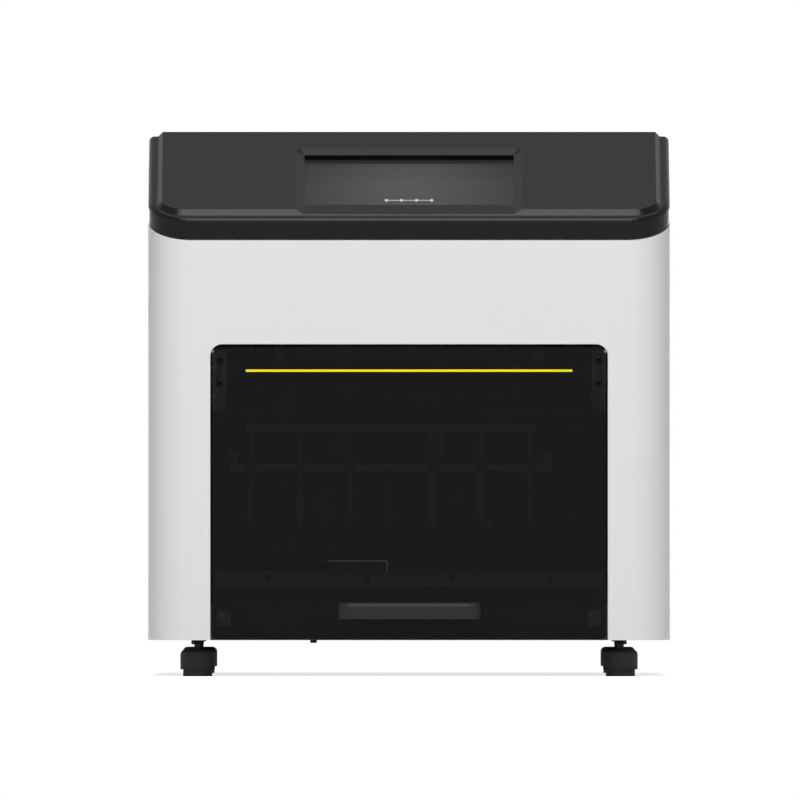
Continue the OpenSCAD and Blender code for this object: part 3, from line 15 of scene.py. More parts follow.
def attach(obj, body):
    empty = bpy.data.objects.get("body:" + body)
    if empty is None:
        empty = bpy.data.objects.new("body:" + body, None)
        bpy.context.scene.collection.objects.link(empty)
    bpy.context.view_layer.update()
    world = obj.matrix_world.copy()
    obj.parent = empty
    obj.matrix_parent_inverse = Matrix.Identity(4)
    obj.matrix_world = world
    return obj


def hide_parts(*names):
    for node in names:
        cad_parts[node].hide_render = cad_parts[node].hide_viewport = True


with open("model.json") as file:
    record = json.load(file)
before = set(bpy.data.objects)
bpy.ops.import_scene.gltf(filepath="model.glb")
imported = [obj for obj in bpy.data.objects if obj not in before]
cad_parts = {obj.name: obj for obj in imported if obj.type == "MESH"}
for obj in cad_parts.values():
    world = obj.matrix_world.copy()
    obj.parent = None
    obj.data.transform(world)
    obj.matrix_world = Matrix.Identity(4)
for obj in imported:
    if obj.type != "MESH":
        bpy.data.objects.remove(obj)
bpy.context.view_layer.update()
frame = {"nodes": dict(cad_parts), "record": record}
nodes = frame["nodes"]

# %% [markdown]
# ## The camera
# A product view is taken from far away with a long lens, so that the front looks flat and its edges stay
# parallel. The camera could also be orthographic, but a long lens keeps a trace of depth as a real one
# does.

# %% Camera
CAMERA_DISTANCE = 27.55
CAMERA_X = -0.0066
CAMERA_Z = 0.2018
VIEW_WIDTH = 0.5835
SENSOR = 36.0
FRONT_Y = -0.206  # the front face of the housing and of the closed door

camera_data = bpy.data.cameras.new("front_camera")
camera = bpy.data.objects.new("front_camera", camera_data)
bpy.context.scene.collection.objects.link(camera)
camera_data.sensor_width = SENSOR
camera_data.lens = SENSOR * CAMERA_DISTANCE / VIEW_WIDTH
camera_data.clip_start = 1.0
camera_data.clip_end = 100.0
camera.location = (CAMERA_X, FRONT_Y - CAMERA_DISTANCE, CAMERA_Z)
camera.rotation_euler = (math.pi / 2, 0, 0)
bpy.context.scene.camera = camera
bpy.context.scene.view_settings.view_transform = "Standard"
print("lens", round(camera_data.lens), "mm")

# %% [markdown]
# ## The studio
# A white studio has two parts. What the camera sees behind the machine is plain white. What lights the
# machine is softer: an even sky for the shaded sides, and large lamps in front, above and behind. Light
# Path keeps the two apart, so the background can be white without washing out the pale housing. A mirrored
# ray sees the white only near the horizon. Higher up it meets a greyer sky, in two steps, so the glossy cap
# stays dark.

# %% World
AMBIENT = 0.14
HORIZON_Z = 0.05
HORIZON_FADE = 0.12
MIRRORED_LOW = 0.64
MIRRORED_HIGH = 0.41
HIGH_FADE = (0.42, 0.66)


def link(tree, source, target):
    tree.links.new(source, target)


def background(tree, strength=1.0):
    node = tree.nodes.new("ShaderNodeBackground")
    node.inputs["Color"].default_value = (1, 1, 1, 1)
    node.inputs["Strength"].default_value = strength
    return node


def make_studio_world():
    """White to the camera and through glass. Mirrored rays see it at the horizon, and a greyer sky above."""
    world = bpy.data.worlds.new("studio")
    bpy.context.scene.world = world
    world.use_nodes = True
    tree = world.node_tree
    tree.nodes.clear()
    output = tree.nodes.new("ShaderNodeOutputWorld")
    path = tree.nodes.new("ShaderNodeLightPath")
    direction = tree.nodes.new("ShaderNodeTexCoord")
    parts = tree.nodes.new("ShaderNodeSeparateXYZ")
    link(tree, direction.outputs["Generated"], parts.inputs[0])

    def fade(start, end, low):
        """1 up to the height start, and low from the height end."""
        node = tree.nodes.new("ShaderNodeMapRange")
        node.interpolation_type = "SMOOTHSTEP"
        node.inputs["From Min"].default_value = start
        node.inputs["From Max"].default_value = end
        node.inputs["To Min"].default_value = 1.0
        node.inputs["To Max"].default_value = low
        link(tree, parts.outputs["Z"], node.inputs["Value"])
        return node.outputs["Result"]

    both = tree.nodes.new("ShaderNodeMath")
    both.operation = "MULTIPLY"
    link(tree, fade(HORIZON_Z, HORIZON_Z + HORIZON_FADE, MIRRORED_LOW), both.inputs[0])
    link(tree, fade(*HIGH_FADE, MIRRORED_HIGH / MIRRORED_LOW), both.inputs[1])

    even = background(tree, AMBIENT)
    white = background(tree)
    mirrored = background(tree)
    link(tree, both.outputs[0], mirrored.inputs["Strength"])

    seen = tree.nodes.new("ShaderNodeMath")
    seen.operation = "MAXIMUM"
    link(tree, path.outputs["Is Camera Ray"], seen.inputs[0])
    link(tree, path.outputs["Is Transmission Ray"], seen.inputs[1])
    first = tree.nodes.new("ShaderNodeMixShader")
    link(tree, path.outputs["Is Glossy Ray"], first.inputs[0])
    link(tree, even.outputs[0], first.inputs[1])
    link(tree, mirrored.outputs[0], first.inputs[2])
    second = tree.nodes.new("ShaderNodeMixShader")
    link(tree, seen.outputs[0], second.inputs[0])
    link(tree, first.outputs[0], second.inputs[1])
    link(tree, white.outputs[0], second.inputs[2])
    link(tree, second.outputs[0], output.inputs[0])


make_studio_world()
print("world made")

# %% [markdown]
# ## The lamps
# Large soft lamps give wide, even light, as the softboxes of a studio do. The key lamp lights the front, a
# smaller one stands nearer and steeper above it, and a weak one hangs over the top. The lamp behind is wide
# and low. It hardly rises above the cap's top, so the flat top does not mirror it.

# %% Lamps
def add_softbox(name, place, target, size, power):
    data = bpy.data.lights.new(name, "AREA")
    data.shape = "RECTANGLE"
    data.size, data.size_y = size
    data.energy = power
    lamp = bpy.data.objects.new(name, data)
    bpy.context.scene.collection.objects.link(lamp)
    lamp.location = place
    lamp.rotation_euler = (Vector(target) - Vector(place)).to_track_quat("-Z", "Y").to_euler()


MIDDLE = (0, 0, 0.2)
add_softbox("key_softbox", (0.0, -2.95, 2.30), MIDDLE, (2.3, 2.0), 49)
add_softbox("high_softbox", (0.0, -1.34, 2.69), (0, -0.2, 0.35), (1.5, 1.3), 37)
add_softbox("top_softbox", (0.0, 0.5, 2.7), MIDDLE, (2.3, 0.9), 9)
add_softbox("rear_softbox", (0.0, 3.2, 0.21), (0, 0, 0.21), (4.0, 0.4), 15)
print("four softboxes")

# %% [markdown]
# ## The floor
# The floor is plain and pale. It is a real surface, so the feet cast their soft shadow on it, and a little
# light of its own that only the camera sees lifts it to the white of the background.

# %% Floor
FLOOR_RADIUS = 2.6
FLOOR_TINT = (0.86, 0.90)
FLOOR_LIFT = 0.74


def make_floor():
    bm = bmesh.new()
    bmesh.ops.create_circle(bm, cap_ends=True, segments=96, radius=FLOOR_RADIUS)
    mesh = bpy.data.meshes.new("studio_floor")
    bm.to_mesh(mesh)
    bm.free()
    floor = bpy.data.objects.new("studio_floor", mesh)
    bpy.context.scene.collection.objects.link(floor)
    mat = bpy.data.materials.new("floor_white")
    mat.use_nodes = True
    tree = mat.node_tree
    tree.nodes.clear()
    output = tree.nodes.new("ShaderNodeOutputMaterial")
    diffuse = tree.nodes.new("ShaderNodeBsdfDiffuse")
    coords = tree.nodes.new("ShaderNodeTexCoord")
    cloud = tree.nodes.new("ShaderNodeTexNoise")
    cloud.inputs["Scale"].default_value = 3.0
    tint = tree.nodes.new("ShaderNodeMapRange")
    tint.inputs["To Min"].default_value, tint.inputs["To Max"].default_value = FLOOR_TINT
    link(tree, coords.outputs["Object"], cloud.inputs["Vector"])
    link(tree, cloud.outputs["Fac"], tint.inputs["Value"])
    link(tree, tint.outputs["Result"], diffuse.inputs["Color"])
    glow = tree.nodes.new("ShaderNodeEmission")
    path = tree.nodes.new("ShaderNodeLightPath")
    lift = tree.nodes.new("ShaderNodeMath")
    lift.operation = "MULTIPLY"
    lift.inputs[1].default_value = FLOOR_LIFT
    link(tree, path.outputs["Is Camera Ray"], lift.inputs[0])
    link(tree, lift.outputs[0], glow.inputs["Strength"])
    both = tree.nodes.new("ShaderNodeAddShader")
    link(tree, diffuse.outputs[0], both.inputs[0])
    link(tree, glow.outputs[0], both.inputs[1])
    link(tree, both.outputs[0], output.inputs[0])
    mesh.materials.append(mat)


make_floor()
print("floor made")

# %% [markdown]
# ## Finishes
# Every finish starts from the same small recipe: a base colour, a cloudy variation of a few per cent, a
# roughness that wanders a little, and a fine bump. What changes is the scale and the character of the
# grain. A powder coat has an orange-peel skin of about a millimetre, moulded plastic has a spark-eroded
# texture a third of that, and ground steel has long fine lines. Object coordinates hold each pattern still
# on its piece.

# %% The shared recipe
def new_material(name):
    mat = bpy.data.materials.new(name)
    mat.use_nodes = True
    tree = mat.node_tree
    tree.nodes.clear()
    output = tree.nodes.new("ShaderNodeOutputMaterial")
    shader = tree.nodes.new("ShaderNodeBsdfPrincipled")
    link(tree, shader.outputs[0], output.inputs[0])
    return mat, tree, shader


def object_coords(tree, stretch=(1, 1, 1)):
    coords = tree.nodes.new("ShaderNodeTexCoord")
    mapping = tree.nodes.new("ShaderNodeMapping")
    mapping.inputs["Scale"].default_value = stretch
    link(tree, coords.outputs["Object"], mapping.inputs["Vector"])
    return mapping.outputs[0]


def noise(tree, vector, scale, detail=2.0):
    node = tree.nodes.new("ShaderNodeTexNoise")
    node.inputs["Scale"].default_value = scale
    node.inputs["Detail"].default_value = detail
    link(tree, vector, node.inputs["Vector"])
    return node.outputs["Fac"]


def spread(tree, value, low, high):
    """The middle of a noise's range, spread from low to high."""
    node = tree.nodes.new("ShaderNodeMapRange")
    node.inputs["From Min"].default_value = 0.3
    node.inputs["From Max"].default_value = 0.7
    node.inputs["To Min"].default_value = low
    node.inputs["To Max"].default_value = high
    link(tree, value, node.inputs["Value"])
    return node.outputs["Result"]


def shade(tree, value, colour, amount):
    """The colour, made darker and lighter by amount as value goes from 0 to 1."""
    node = tree.nodes.new("ShaderNodeMix")
    node.data_type = "RGBA"
    node.inputs["A"].default_value = (*[c * (1 - amount) for c in colour], 1)
    node.inputs["B"].default_value = (*[min(1.0, c * (1 + amount)) for c in colour], 1)
    link(tree, value, node.inputs["Factor"])
    return node.outputs["Result"]


def bump(tree, shader, height, distance):
    node = tree.nodes.new("ShaderNodeBump")
    node.inputs["Strength"].default_value = 0.5
    node.inputs["Distance"].default_value = distance
    link(tree, height, node.inputs["Height"])
    link(tree, node.outputs[0], shader.inputs["Normal"])


def make_finish(
    name, colour, rough, metal=0.0, gloss=0.5, cloud=8.0, mottle=0.04, grain=1500.0, depth=0.00004,
    stretch=(1, 1, 1), alpha=1.0, rough_play=0.05,
):
    """cloud and grain are the scales of the slow and the fine noise, and depth is the height of the bump."""
    mat, tree, shader = new_material(name)
    plain = object_coords(tree)
    fine = object_coords(tree, stretch)
    patches = noise(tree, plain, cloud, 3.0)
    link(tree, shade(tree, patches, colour, mottle), shader.inputs["Base Color"])
    grains = noise(tree, fine, grain)
    link(tree, spread(tree, grains, rough - rough_play, rough + rough_play), shader.inputs["Roughness"])
    bump(tree, shader, grains, depth)
    shader.inputs["Metallic"].default_value = metal
    shader.inputs["Specular IOR Level"].default_value = gloss
    shader.inputs["Alpha"].default_value = alpha
    return mat


def dress(node, finish):
    """Give a CAD node one finish in place of its own."""
    materials = nodes[node].data.materials
    materials.clear()
    materials.append(finish)


print("recipe ready")

# %% [markdown]
# ## Coats, plastics and metals
# Each key below is a material slot of the record, or a name for a finish that only a few pieces take. The
# plates of the head are dark anodised and its rails black chromed, so they stay quiet behind the rods when
# the chamber is seen through the door.

# %% Coats, plastics and metals
FINISHES = {
    "housing": make_finish(
        "housing_powder_coat", (0.80, 0.80, 0.80), 0.50, gloss=0.2, grain=900, mottle=0.01,
    ),
    "base": make_finish("base_powder_coat", (0.10, 0.10, 0.105), 0.55, gloss=0.3, grain=900),
    "cap": make_finish(
        "cap_moulded_plastic", (0.004, 0.004, 0.0042), 0.24, gloss=0.21, grain=2600, mottle=0.05,
    ),
    "stripe": make_finish("stripe_yellow_fill", (1.0, 0.86, 0.010), 0.45, gloss=0.2, grain=3000, mottle=0.02),
    "black_plastic": make_finish("black_moulded_plastic", (0.022, 0.022, 0.023), 0.46, gloss=0.3, grain=2600),
    "dark_metal": make_finish("black_oxide_steel", (0.035, 0.035, 0.038), 0.38, metal=0.6, grain=3500),
    "black_screw": make_finish("blackened_screw", (0.006, 0.006, 0.0065), 0.36, gloss=0.11, grain=3500),
    "handle": make_finish("handle_moulded_plastic", (0.029, 0.029, 0.0295), 0.42, gloss=0.13, grain=2600),
    "black_anodised": make_finish("black_anodised_plate", (0.045, 0.045, 0.048), 0.45, metal=0.5, grain=2400),
    "black_chrome": make_finish("black_chromed_rail", (0.10, 0.10, 0.105), 0.28, metal=1.0, grain=1800),
    "nickel": make_finish("bright_nickel", (0.95, 0.94, 0.91), 0.30, metal=0.35, gloss=0.8, grain=1800),
    "aluminium": make_finish("satin_anodised_aluminium", (0.66, 0.67, 0.69), 0.36, metal=1.0, grain=2400),
    "chamber": make_finish("chamber_grey_coat", (0.13, 0.133, 0.14), 0.50, gloss=0.3, grain=900, mottle=0.02),
    "heater": make_finish("heater_hard_anodised", (0.20, 0.19, 0.17), 0.48, metal=0.8, grain=2200),
    "steel": make_finish(
        "ground_steel", (0.60, 0.61, 0.63), 0.24, metal=1.0, grain=1800, stretch=(1, 1, 0.08),
    ),
    "motor": make_finish("motor_black_coat", (0.03, 0.03, 0.032), 0.42, gloss=0.4, grain=1500),
    "sleeve": make_finish("sleeve_polypropylene", (0.80, 0.84, 0.88), 0.30, gloss=0.4, grain=900, alpha=0.62),
    "lamp": make_finish("lamp_clear_quartz", (0.42, 0.44, 0.50), 0.22, gloss=0.5, grain=1200, alpha=0.45),
    "white_plastic": make_finish("white_moulded_plastic", (0.78, 0.78, 0.76), 0.45, gloss=0.4, grain=2600),
    "rubber": make_finish("foot_rubber", (0.056, 0.056, 0.056), 0.62, gloss=0.25, grain=1900, depth=0.00006),
    "board": make_finish(
        "board_solder_mask", (0.01, 0.09, 0.035), 0.35, gloss=0.5, grain=700, cloud=60, mottle=0.2,
    ),
    "connector": make_finish(
        "plated_shell", (0.58, 0.58, 0.59), 0.33, metal=1.0, grain=1700, stretch=(1, 0.1, 1),
    ),
}
for subpart in frame["record"]["subparts"]:
    slot_name = subpart["material_slot"]
    if slot_name in FINISHES:
        dress(subpart["node"], FINISHES[slot_name])
SPECIAL = {
    "foot_nuts": "black_screw", "underside_screw": "black_screw", "door_handle": "handle",
    "x_carriage": "black_anodised", "lift_frame": "black_anodised", "magnet_carriage": "black_anodised",
    "plate_nest": "black_anodised", "x_rails": "black_chrome", "z_rails": "black_chrome",
    "lamp_holders": "black_plastic", "hinge_leaves": "steel",
}
for name, finish in SPECIAL.items():
    dress(name, FINISHES[finish])
print(len(FINISHES), "finishes")

# %% [markdown]
# ## The tinted door
# The door is smoke-tinted acrylic: nearly black from outside, and clear enough to show a ghost of the head
# and rods behind it. Real absorption inside the sheet would need many light bounces. A part alpha on a
# polished black shader gives the same ghost with little noise, and it survives the export. Light passes two
# faces on the way in and two on the way out. Each lets about a quarter through, so a ghost keeps less than
# a hundredth of its brightness.

# %% Door acrylic
DOOR_ALPHA = 0.74
door_acrylic = make_finish(
    "door_smoked_acrylic", (0.0012, 0.0012, 0.0013), 0.10, gloss=0.16, grain=120, depth=0.000002,
    rough_play=0.02, mottle=0.05, alpha=DOOR_ALPHA,
)
dress("door_panel", door_acrylic)
print("door alpha", DOOR_ALPHA)

# %% [markdown]
# ## The display
# The display is a lit panel behind a dark cover glass. The glass gets a nearly clear finish, and the module
# behind it carries the picture: a soft grey glow that is brightest a little above the middle, a fine weave
# of rays and rings, and a row of four dots on a line, which show how far a run has come. The pattern is
# drawn with nodes in the console's own sloped coordinates: x across, and s up the slope from the plane of
# the front.

# %% Lit display
SLOPE = math.radians(22.6)
PLATEAU_Z = 0.3375
WINDOW_S = (0.0233, 0.1191)
PICTURE_END = 0.0024  # the picture stops this far below the window's upper edge
GLOW_CENTRE = 0.058  # up the slope from the window's lower edge
GLOW_REACH = (0.085, 0.16)
GLOW = (0.094, 0.046)
GLOW_END = 1.05
BORDER_GLOW = 0.030
WEAVE_RAYS, WEAVE_RINGS, WEAVE_GLOW = 150.0, 260.0, 0.006
DOT_LINE = 0.0232  # up the slope from the window's lower edge
DOT_STEP = 0.011
DOT_RADIUS = 0.0013
LINE_HALF = 0.0006
DOT_COUNT = 4
DOT_GLOW = 0.75


def maths(tree, operation, a, b=None):
    node = tree.nodes.new("ShaderNodeMath")
    node.operation = operation
    for socket, value in zip(node.inputs, (a, b)):
        if value is None:
            continue
        if isinstance(value, (int, float)):
            socket.default_value = value
        else:
            link(tree, value, socket)
    return node.outputs[0]


def square(tree, value):
    return maths(tree, "MULTIPLY", value, value)


def make_display():
    mat, tree, shader = new_material("display_lit_panel")
    coords = tree.nodes.new("ShaderNodeTexCoord")
    shift = tree.nodes.new("ShaderNodeVectorMath")
    shift.operation = "SUBTRACT"
    shift.inputs[1].default_value = (0, FRONT_Y, PLATEAU_Z)
    link(tree, coords.outputs["Object"], shift.inputs[0])
    turned = tree.nodes.new("ShaderNodeVectorRotate")
    turned.rotation_type = "X_AXIS"
    turned.inputs["Angle"].default_value = -SLOPE
    link(tree, shift.outputs[0], turned.inputs["Vector"])
    parts = tree.nodes.new("ShaderNodeSeparateXYZ")
    link(tree, turned.outputs[0], parts.inputs[0])
    x, s = parts.outputs["X"], parts.outputs["Y"]

    # Distance from the glow's centre, as a share of the glow's reach each way
    across = maths(tree, "DIVIDE", x, GLOW_REACH[0])
    along = maths(tree, "DIVIDE", maths(tree, "SUBTRACT", s, WINDOW_S[0] + GLOW_CENTRE), GLOW_REACH[1])
    far = maths(tree, "SQRT", maths(tree, "ADD", square(tree, across), square(tree, along)))
    glow = tree.nodes.new("ShaderNodeMapRange")
    glow.interpolation_type = "SMOOTHSTEP"
    glow.inputs["From Min"].default_value = 0.0
    glow.inputs["From Max"].default_value = GLOW_END
    glow.inputs["To Min"].default_value, glow.inputs["To Max"].default_value = GLOW
    link(tree, far, glow.inputs["Value"])

    # A fine weave: one wave in the angle round the centre, times one in the distance from it
    angle = maths(tree, "ARCTAN2", along, across)
    rays = maths(tree, "SINE", maths(tree, "MULTIPLY", angle, WEAVE_RAYS))
    rings = maths(tree, "SINE", maths(tree, "MULTIPLY", far, WEAVE_RINGS))
    texture = maths(tree, "MULTIPLY", maths(tree, "MULTIPLY", rays, rings), WEAVE_GLOW)
    light = maths(tree, "ADD", glow.outputs["Result"], texture)

    # The progress line and its four dots
    rise = maths(tree, "SUBTRACT", s, WINDOW_S[0] + DOT_LINE)
    half_length = DOT_STEP * (DOT_COUNT - 1) / 2
    thin = maths(tree, "LESS_THAN", maths(tree, "ABSOLUTE", rise), LINE_HALF)
    short = maths(tree, "LESS_THAN", maths(tree, "ABSOLUTE", x), half_length)
    mark = maths(tree, "MULTIPLY", thin, short)
    for k in range(DOT_COUNT):
        dx = maths(tree, "SUBTRACT", x, DOT_STEP * k - half_length)
        # The slope shortens what is seen from the front, so a dot is longer up the slope than across
        dot = maths(tree, "ADD", square(tree, dx), maths(tree, "MULTIPLY", square(tree, rise), 0.25))
        mark = maths(tree, "MAXIMUM", mark, maths(tree, "LESS_THAN", dot, DOT_RADIUS ** 2))
    light = maths(tree, "MAXIMUM", light, maths(tree, "MULTIPLY", mark, DOT_GLOW))

    # Past the picture's upper edge the panel keeps only a dim border
    inside = maths(tree, "LESS_THAN", s, WINDOW_S[1] - PICTURE_END)
    strength = maths(tree, "MAXIMUM", maths(tree, "MULTIPLY", light, inside), BORDER_GLOW)
    link(tree, strength, shader.inputs["Emission Strength"])
    shader.inputs["Emission Color"].default_value = (0.98, 0.99, 1.0, 1)
    grains = noise(tree, coords.outputs["Object"], 900.0)
    link(tree, shade(tree, grains, (0.012, 0.012, 0.013), 0.1), shader.inputs["Base Color"])
    link(tree, spread(tree, grains, 0.3, 0.4), shader.inputs["Roughness"])
    shader.inputs["Specular IOR Level"].default_value = 0.1
    return mat


dress("display_module", make_display())
cover_glass = make_finish(
    "display_cover_glass", (0.004, 0.004, 0.005), 0.16, gloss=0.12, grain=90, depth=0.000001,
    rough_play=0.01, alpha=0.16,
)
dress("display_glass", cover_glass)
print("display made")

# %% [markdown]
# ## Small turned parts
# The CAD model keeps its screws plain. Here they get what a hand or an eye would notice. One helper stacks
# rings of points along an axis. A ring's radius may be a number, or a rule that gives the radius at each
# angle, and that is how a ring becomes a hexagon or a knurl. Pieces are built in metres, where they sit.

# %% Helpers for turned parts
X, Y, Z = Vector((1, 0, 0)), Vector((0, 1, 0)), Vector((0, 0, 1))
# The two directions of a ring, and the axis that it is stacked along
AXES = {"X": (Y, Z, X), "Y": (Z, X, Y), "Z": (X, Y, Z), "forward": (X, Z, -Y)}


def stack(bm, levels, centre, axis, steps=32, ring=False):
    """Rings of (radius, height) joined into a solid. With ring=True the last joins the first as well."""
    across, up, along = AXES[axis]
    loops = []
    for radius, height in levels:
        loop = []
        for k in range(steps):
            angle = 2 * math.pi * k / steps
            r = radius(angle) if callable(radius) else radius
            spoke = r * (math.cos(angle) * across + math.sin(angle) * up)
            loop.append(bm.verts.new(Vector(centre) + spoke + height * along))
        loops.append(loop)
    pairs = list(zip(loops, loops[1:])) + ([(loops[-1], loops[0])] if ring else [])
    for low, high in pairs:
        for k in range(steps):
            n = (k + 1) % steps
            bm.faces.new((low[k], low[n], high[n], high[k]))
    if not ring:
        bm.faces.new(loops[0][::-1])
        bm.faces.new(loops[-1])


def hexagon(flat):
    """Radius rule of a hexagonal socket that measures 2 * flat across."""
    return lambda angle: flat / math.cos((angle % (math.pi / 3)) - math.pi / 6)


def knurl(radius, depth, teeth):
    """Radius rule of a rim with rounded teeth."""
    return lambda angle: radius - depth * (0.5 - 0.5 * math.cos(angle * teeth))


SMOOTH_BELOW = math.radians(32)


def finish_piece(bm, name, finish, body):
    """Turn the bmesh into a piece that rides on a body. Sharp edges stay sharp, the rest is smooth."""
    bmesh.ops.recalc_face_normals(bm, faces=bm.faces)
    for edge in bm.edges:
        edge.smooth = len(edge.link_faces) != 2 or edge.calc_face_angle() < SMOOTH_BELOW
    for face in bm.faces:
        face.smooth = True
    mesh = bpy.data.meshes.new(name)
    bm.to_mesh(mesh)
    bm.free()
    mesh.materials.append(FINISHES[finish])
    piece = bpy.data.objects.new(name, mesh)
    bpy.context.scene.collection.objects.link(piece)
    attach(piece, body)
    return piece


print("helpers ready")

# %% [markdown]
# ## Lead screws
# A lead screw with several starts climbs several ridges at once. A line of one lead's length, bent into
# ridges, is spun round the axis while it climbs one lead a turn, so each turn meets the one before and the
# thread closes on itself. A plain journal at each end hides where the sweep starts and stops.

# %% Threads
RIDGE = (0, 0, 1, 1, 1, 0)  # depth below the crest, in six steps along one pitch
PITCH = 0.002
THREAD_DEPTH = 0.0009
CREST_INSET = 0.00006  # keeps the crests just inside the journals
STEPS_PER_TURN = 16
JOURNAL_OVERLAP = 0.0016
CHAMFER = 0.0004
WELD = 0.000004


def lead_screw(name, stands_for, body, axis, centre, low, high, radius, lead):
    bm = bmesh.new()
    across, _, along = AXES[axis]
    place = Vector(centre)
    rows = round(lead / PITCH) * len(RIDGE)
    line = []
    for k in range(rows + 1):
        r = radius - CREST_INSET - THREAD_DEPTH * RIDGE[k % len(RIDGE)]
        line.append(bm.verts.new(place + r * across + (low + lead * k / rows) * along))
    edges = [bm.edges.new(pair) for pair in zip(line, line[1:])]
    turns = int((high - low) / lead) - 1
    bmesh.ops.spin(
        bm, geom=line + edges, cent=place, axis=along, dvec=along * lead / STEPS_PER_TURN,
        angle=2 * math.pi * turns, steps=STEPS_PER_TURN * turns, use_merge=False, use_duplicate=False,
    )
    bmesh.ops.remove_doubles(bm, verts=bm.verts, dist=WELD)
    bmesh.ops.recalc_face_normals(bm, faces=bm.faces)
    end = low + lead * (turns + 1)
    journal = lead + JOURNAL_OVERLAP
    for a, b in ((low, low + journal), (end - journal, high)):
        neck = radius - CHAMFER
        stack(bm, [(neck, a), (radius, a + CHAMFER), (radius, b - CHAMFER), (neck, b)], place, axis)
    piece = finish_piece(bm, name, "steel", body)
    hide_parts(stands_for)
    return piece


HEAD_X = -0.0135
threads = [
    lead_screw(
        "x_screw_thread", "x_screw", "x_lead_screw", "X",
        (0, -0.02446, 0.226), -0.1495, 0.1565, 0.004, 0.008,
    ),
    lead_screw(
        "z_screw_thread", "z_screw", "lift_lead_screw", "Z",
        (HEAD_X, -0.04346, 0), 0.0985, 0.309, 0.004, 0.008,
    ),
    lead_screw(
        "magnet_screw_thread", "magnet_screw", "magnet_lead_screw", "Z",
        (HEAD_X, -0.06226, 0), 0.1564, 0.265, 0.003, 0.004,
    ),
]
print("faces of the threads:", [len(piece.data.polygons) for piece in threads])

# %% [markdown]
# ## Thumbscrews and lamp bands
# The comb holder's two thumbscrews get a knurled rim and a dimpled top. The ultraviolet lamp gets its metal
# end bands, just inside its holders. Their heights are given as they stand in the frame.

# %% Thumbscrews and lamp bands
THUMB_X = 0.11475
THUMB_Y = -0.14596
LAMP_Y, LAMP_Z = -0.12396, 0.236
BAND_START, BAND_LENGTH, BAND_ROUND = 0.091, 0.008, 0.0003

for side, sign in (("left", -1), ("right", 1)):
    bm = bmesh.new()
    rim = knurl(0.0045, 0.0003, 36)
    stack(bm, [
        (0.002, 0.147), (0.002, 0.1551), (0.0032, 0.1551), (0.0032, 0.1612), (0.0041, 0.1612), (rim, 0.1615),
        (rim, 0.1633), (0.0041, 0.1636), (0.0018, 0.1636), (0.0012, 0.1632),
    ], (HEAD_X + sign * THUMB_X, THUMB_Y, 0), "Z", steps=144)
    screw = finish_piece(bm, f"thumbscrew_{side}_knurled", "nickel", f"{side}_thumbscrew")
    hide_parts(f"thumbscrew_{side}")

bm = bmesh.new()
for sign in (-1, 1):
    near = sign * BAND_START
    far = near + sign * BAND_LENGTH
    soft = sign * BAND_ROUND
    stack(bm, [
        (0.0079, near), (0.0082, near), (0.0084, near + soft),
        (0.0084, far - soft), (0.0082, far), (0.0079, far),
    ], (0, LAMP_Y, LAMP_Z), "X", steps=48, ring=True)
finish_piece(bm, "uv_lamp_bands", "connector", "housing")
print("two thumbscrews and two lamp bands")

# %% [markdown]
# ## Button heads
# The door's four hinge screws get rounded heads with deep hexagonal sockets. Each socket ends in a cone, as
# a drilled hole does. The rear panel is held by low button heads, and four of them hold the fan.

# %% Button heads
HINGE_X = 0.1384
HINGE_HEAD_Y = -0.2045  # the floor of the door's screw sinks
HINGE_SCREWS = ((0.2311, 0.0060), (0.2142, 0.0033))  # height and shank length
PANEL_FACE = 0.219
PANEL_EDGE_X = 0.176
PANEL_EDGE_Z = (0.046, 0.178, 0.304)
PANEL_FOOT_X, PANEL_FOOT_Z = 0.06, 0.040
FAN_X, FAN_Z, FAN_SCREW_OUT = 0.095, 0.2796, 0.03575


def button_head(bm, x, z, radius=0.0028, height=0.0009):
    """A low button head on the rear panel, with a hexagonal socket."""
    socket = hexagon(radius * 0.42)
    stack(bm, [
        (radius, 0.0), (radius, height * 0.35), (radius * 0.86, height * 0.8), (radius * 0.66, height),
        (socket, height), (socket, height * 0.35),
    ], (x, PANEL_FACE, z), "Y", steps=36)


bm = bmesh.new()
key = hexagon(0.00125)
for side in (-1, 1):
    for z, shank in HINGE_SCREWS:
        stack(bm, [
            (0.0015, -shank), (0.0015, 0.0), (0.0028, 0.0), (0.00285, 0.0002), (0.00280, 0.0006),
            (0.0025, 0.0011), (0.0020, 0.00148), (0.0016, 0.00162), (key, 0.00162), (key, 0.0002),
            (0.0003, -0.0006),
        ], (side * HINGE_X, HINGE_HEAD_Y, z), "forward", steps=36)
hinge_screws = finish_piece(bm, "door_hinge_button_heads", "black_screw", "door")
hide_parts("door_hinge_screws")

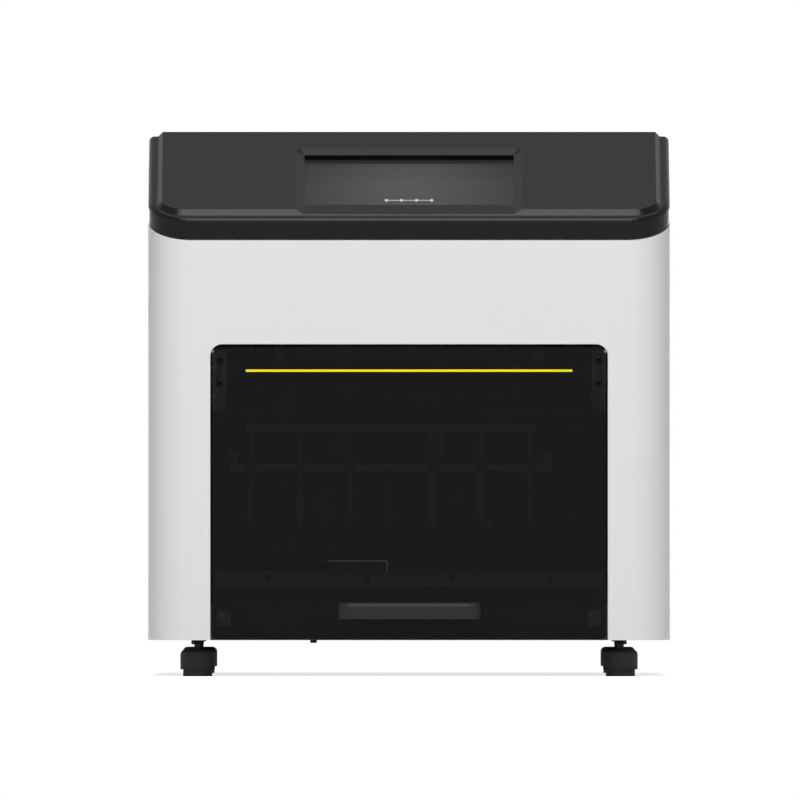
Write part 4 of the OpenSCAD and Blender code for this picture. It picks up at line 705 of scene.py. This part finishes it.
rear_places = []
for side in (-1, 1):
    rear_places += [(side * PANEL_EDGE_X, z) for z in PANEL_EDGE_Z]
    rear_places += [(FAN_X + side * FAN_SCREW_OUT, FAN_Z + up * FAN_SCREW_OUT) for up in (-1, 1)]
rear_places += [(side * PANEL_FOOT_X, PANEL_FOOT_Z) for side in (-1, 1)]
bm = bmesh.new()
for x, z in rear_places:
    button_head(bm, x, z)
rear_screws = finish_piece(bm, "rear_panel_screws", "black_screw", "housing")
print(2 * len(HINGE_SCREWS), "hinge screws and", len(rear_places), "rear screws")

# %% [markdown]
# ## Marks on the rocker
# The rocker carries the two plain marks of any power switch: a bar for on and a ring for off. The lower
# half of the rocker stands upright at rest and the upper half leans out by the rocker's whole swing, so
# each mark is laid along its own half.

# %% On and off marks
ROCKER_X, ROCKER_Y, ROCKER_Z = -0.092, 0.2138, 0.0746
LEAN = math.radians(20)
BAR_SIZE = (0.0008, 0.00012, 0.0036)
BAR_OUT, BAR_UP, BAR_SUNK = 0.00410, 0.00435, 0.00003
RING_OUT, RING_DOWN, RING_THICK = 0.00233, 0.0055, 0.00009

bm = bmesh.new()
outward = Vector((0, math.cos(LEAN), -math.sin(LEAN)))
upward = Vector((0, math.sin(LEAN), math.cos(LEAN)))
centre = Vector((ROCKER_X, ROCKER_Y + BAR_OUT, ROCKER_Z + BAR_UP)) - outward * BAR_SUNK
turn = Matrix((X, outward, upward)).transposed().to_4x4()
place = Matrix.Translation(centre) @ turn @ Matrix.Diagonal((*BAR_SIZE, 1))
bar = bmesh.ops.create_cube(bm, size=1.0, matrix=place)
bar_edges = list({edge for vert in bar["verts"] for edge in vert.link_edges})
bmesh.ops.bevel(bm, geom=bar_edges, offset=0.00004, segments=2, profile=0.5, affect="EDGES", material=-1)
stack(
    bm, [(0.0013, 0), (0.0019, 0), (0.0019, RING_THICK), (0.0013, RING_THICK)],
    (ROCKER_X, ROCKER_Y + RING_OUT, ROCKER_Z - RING_DOWN), "Y", steps=40, ring=True,
)
marks = finish_piece(bm, "rocker_marks", "white_plastic", "power_rocker")
print("bar and ring made")
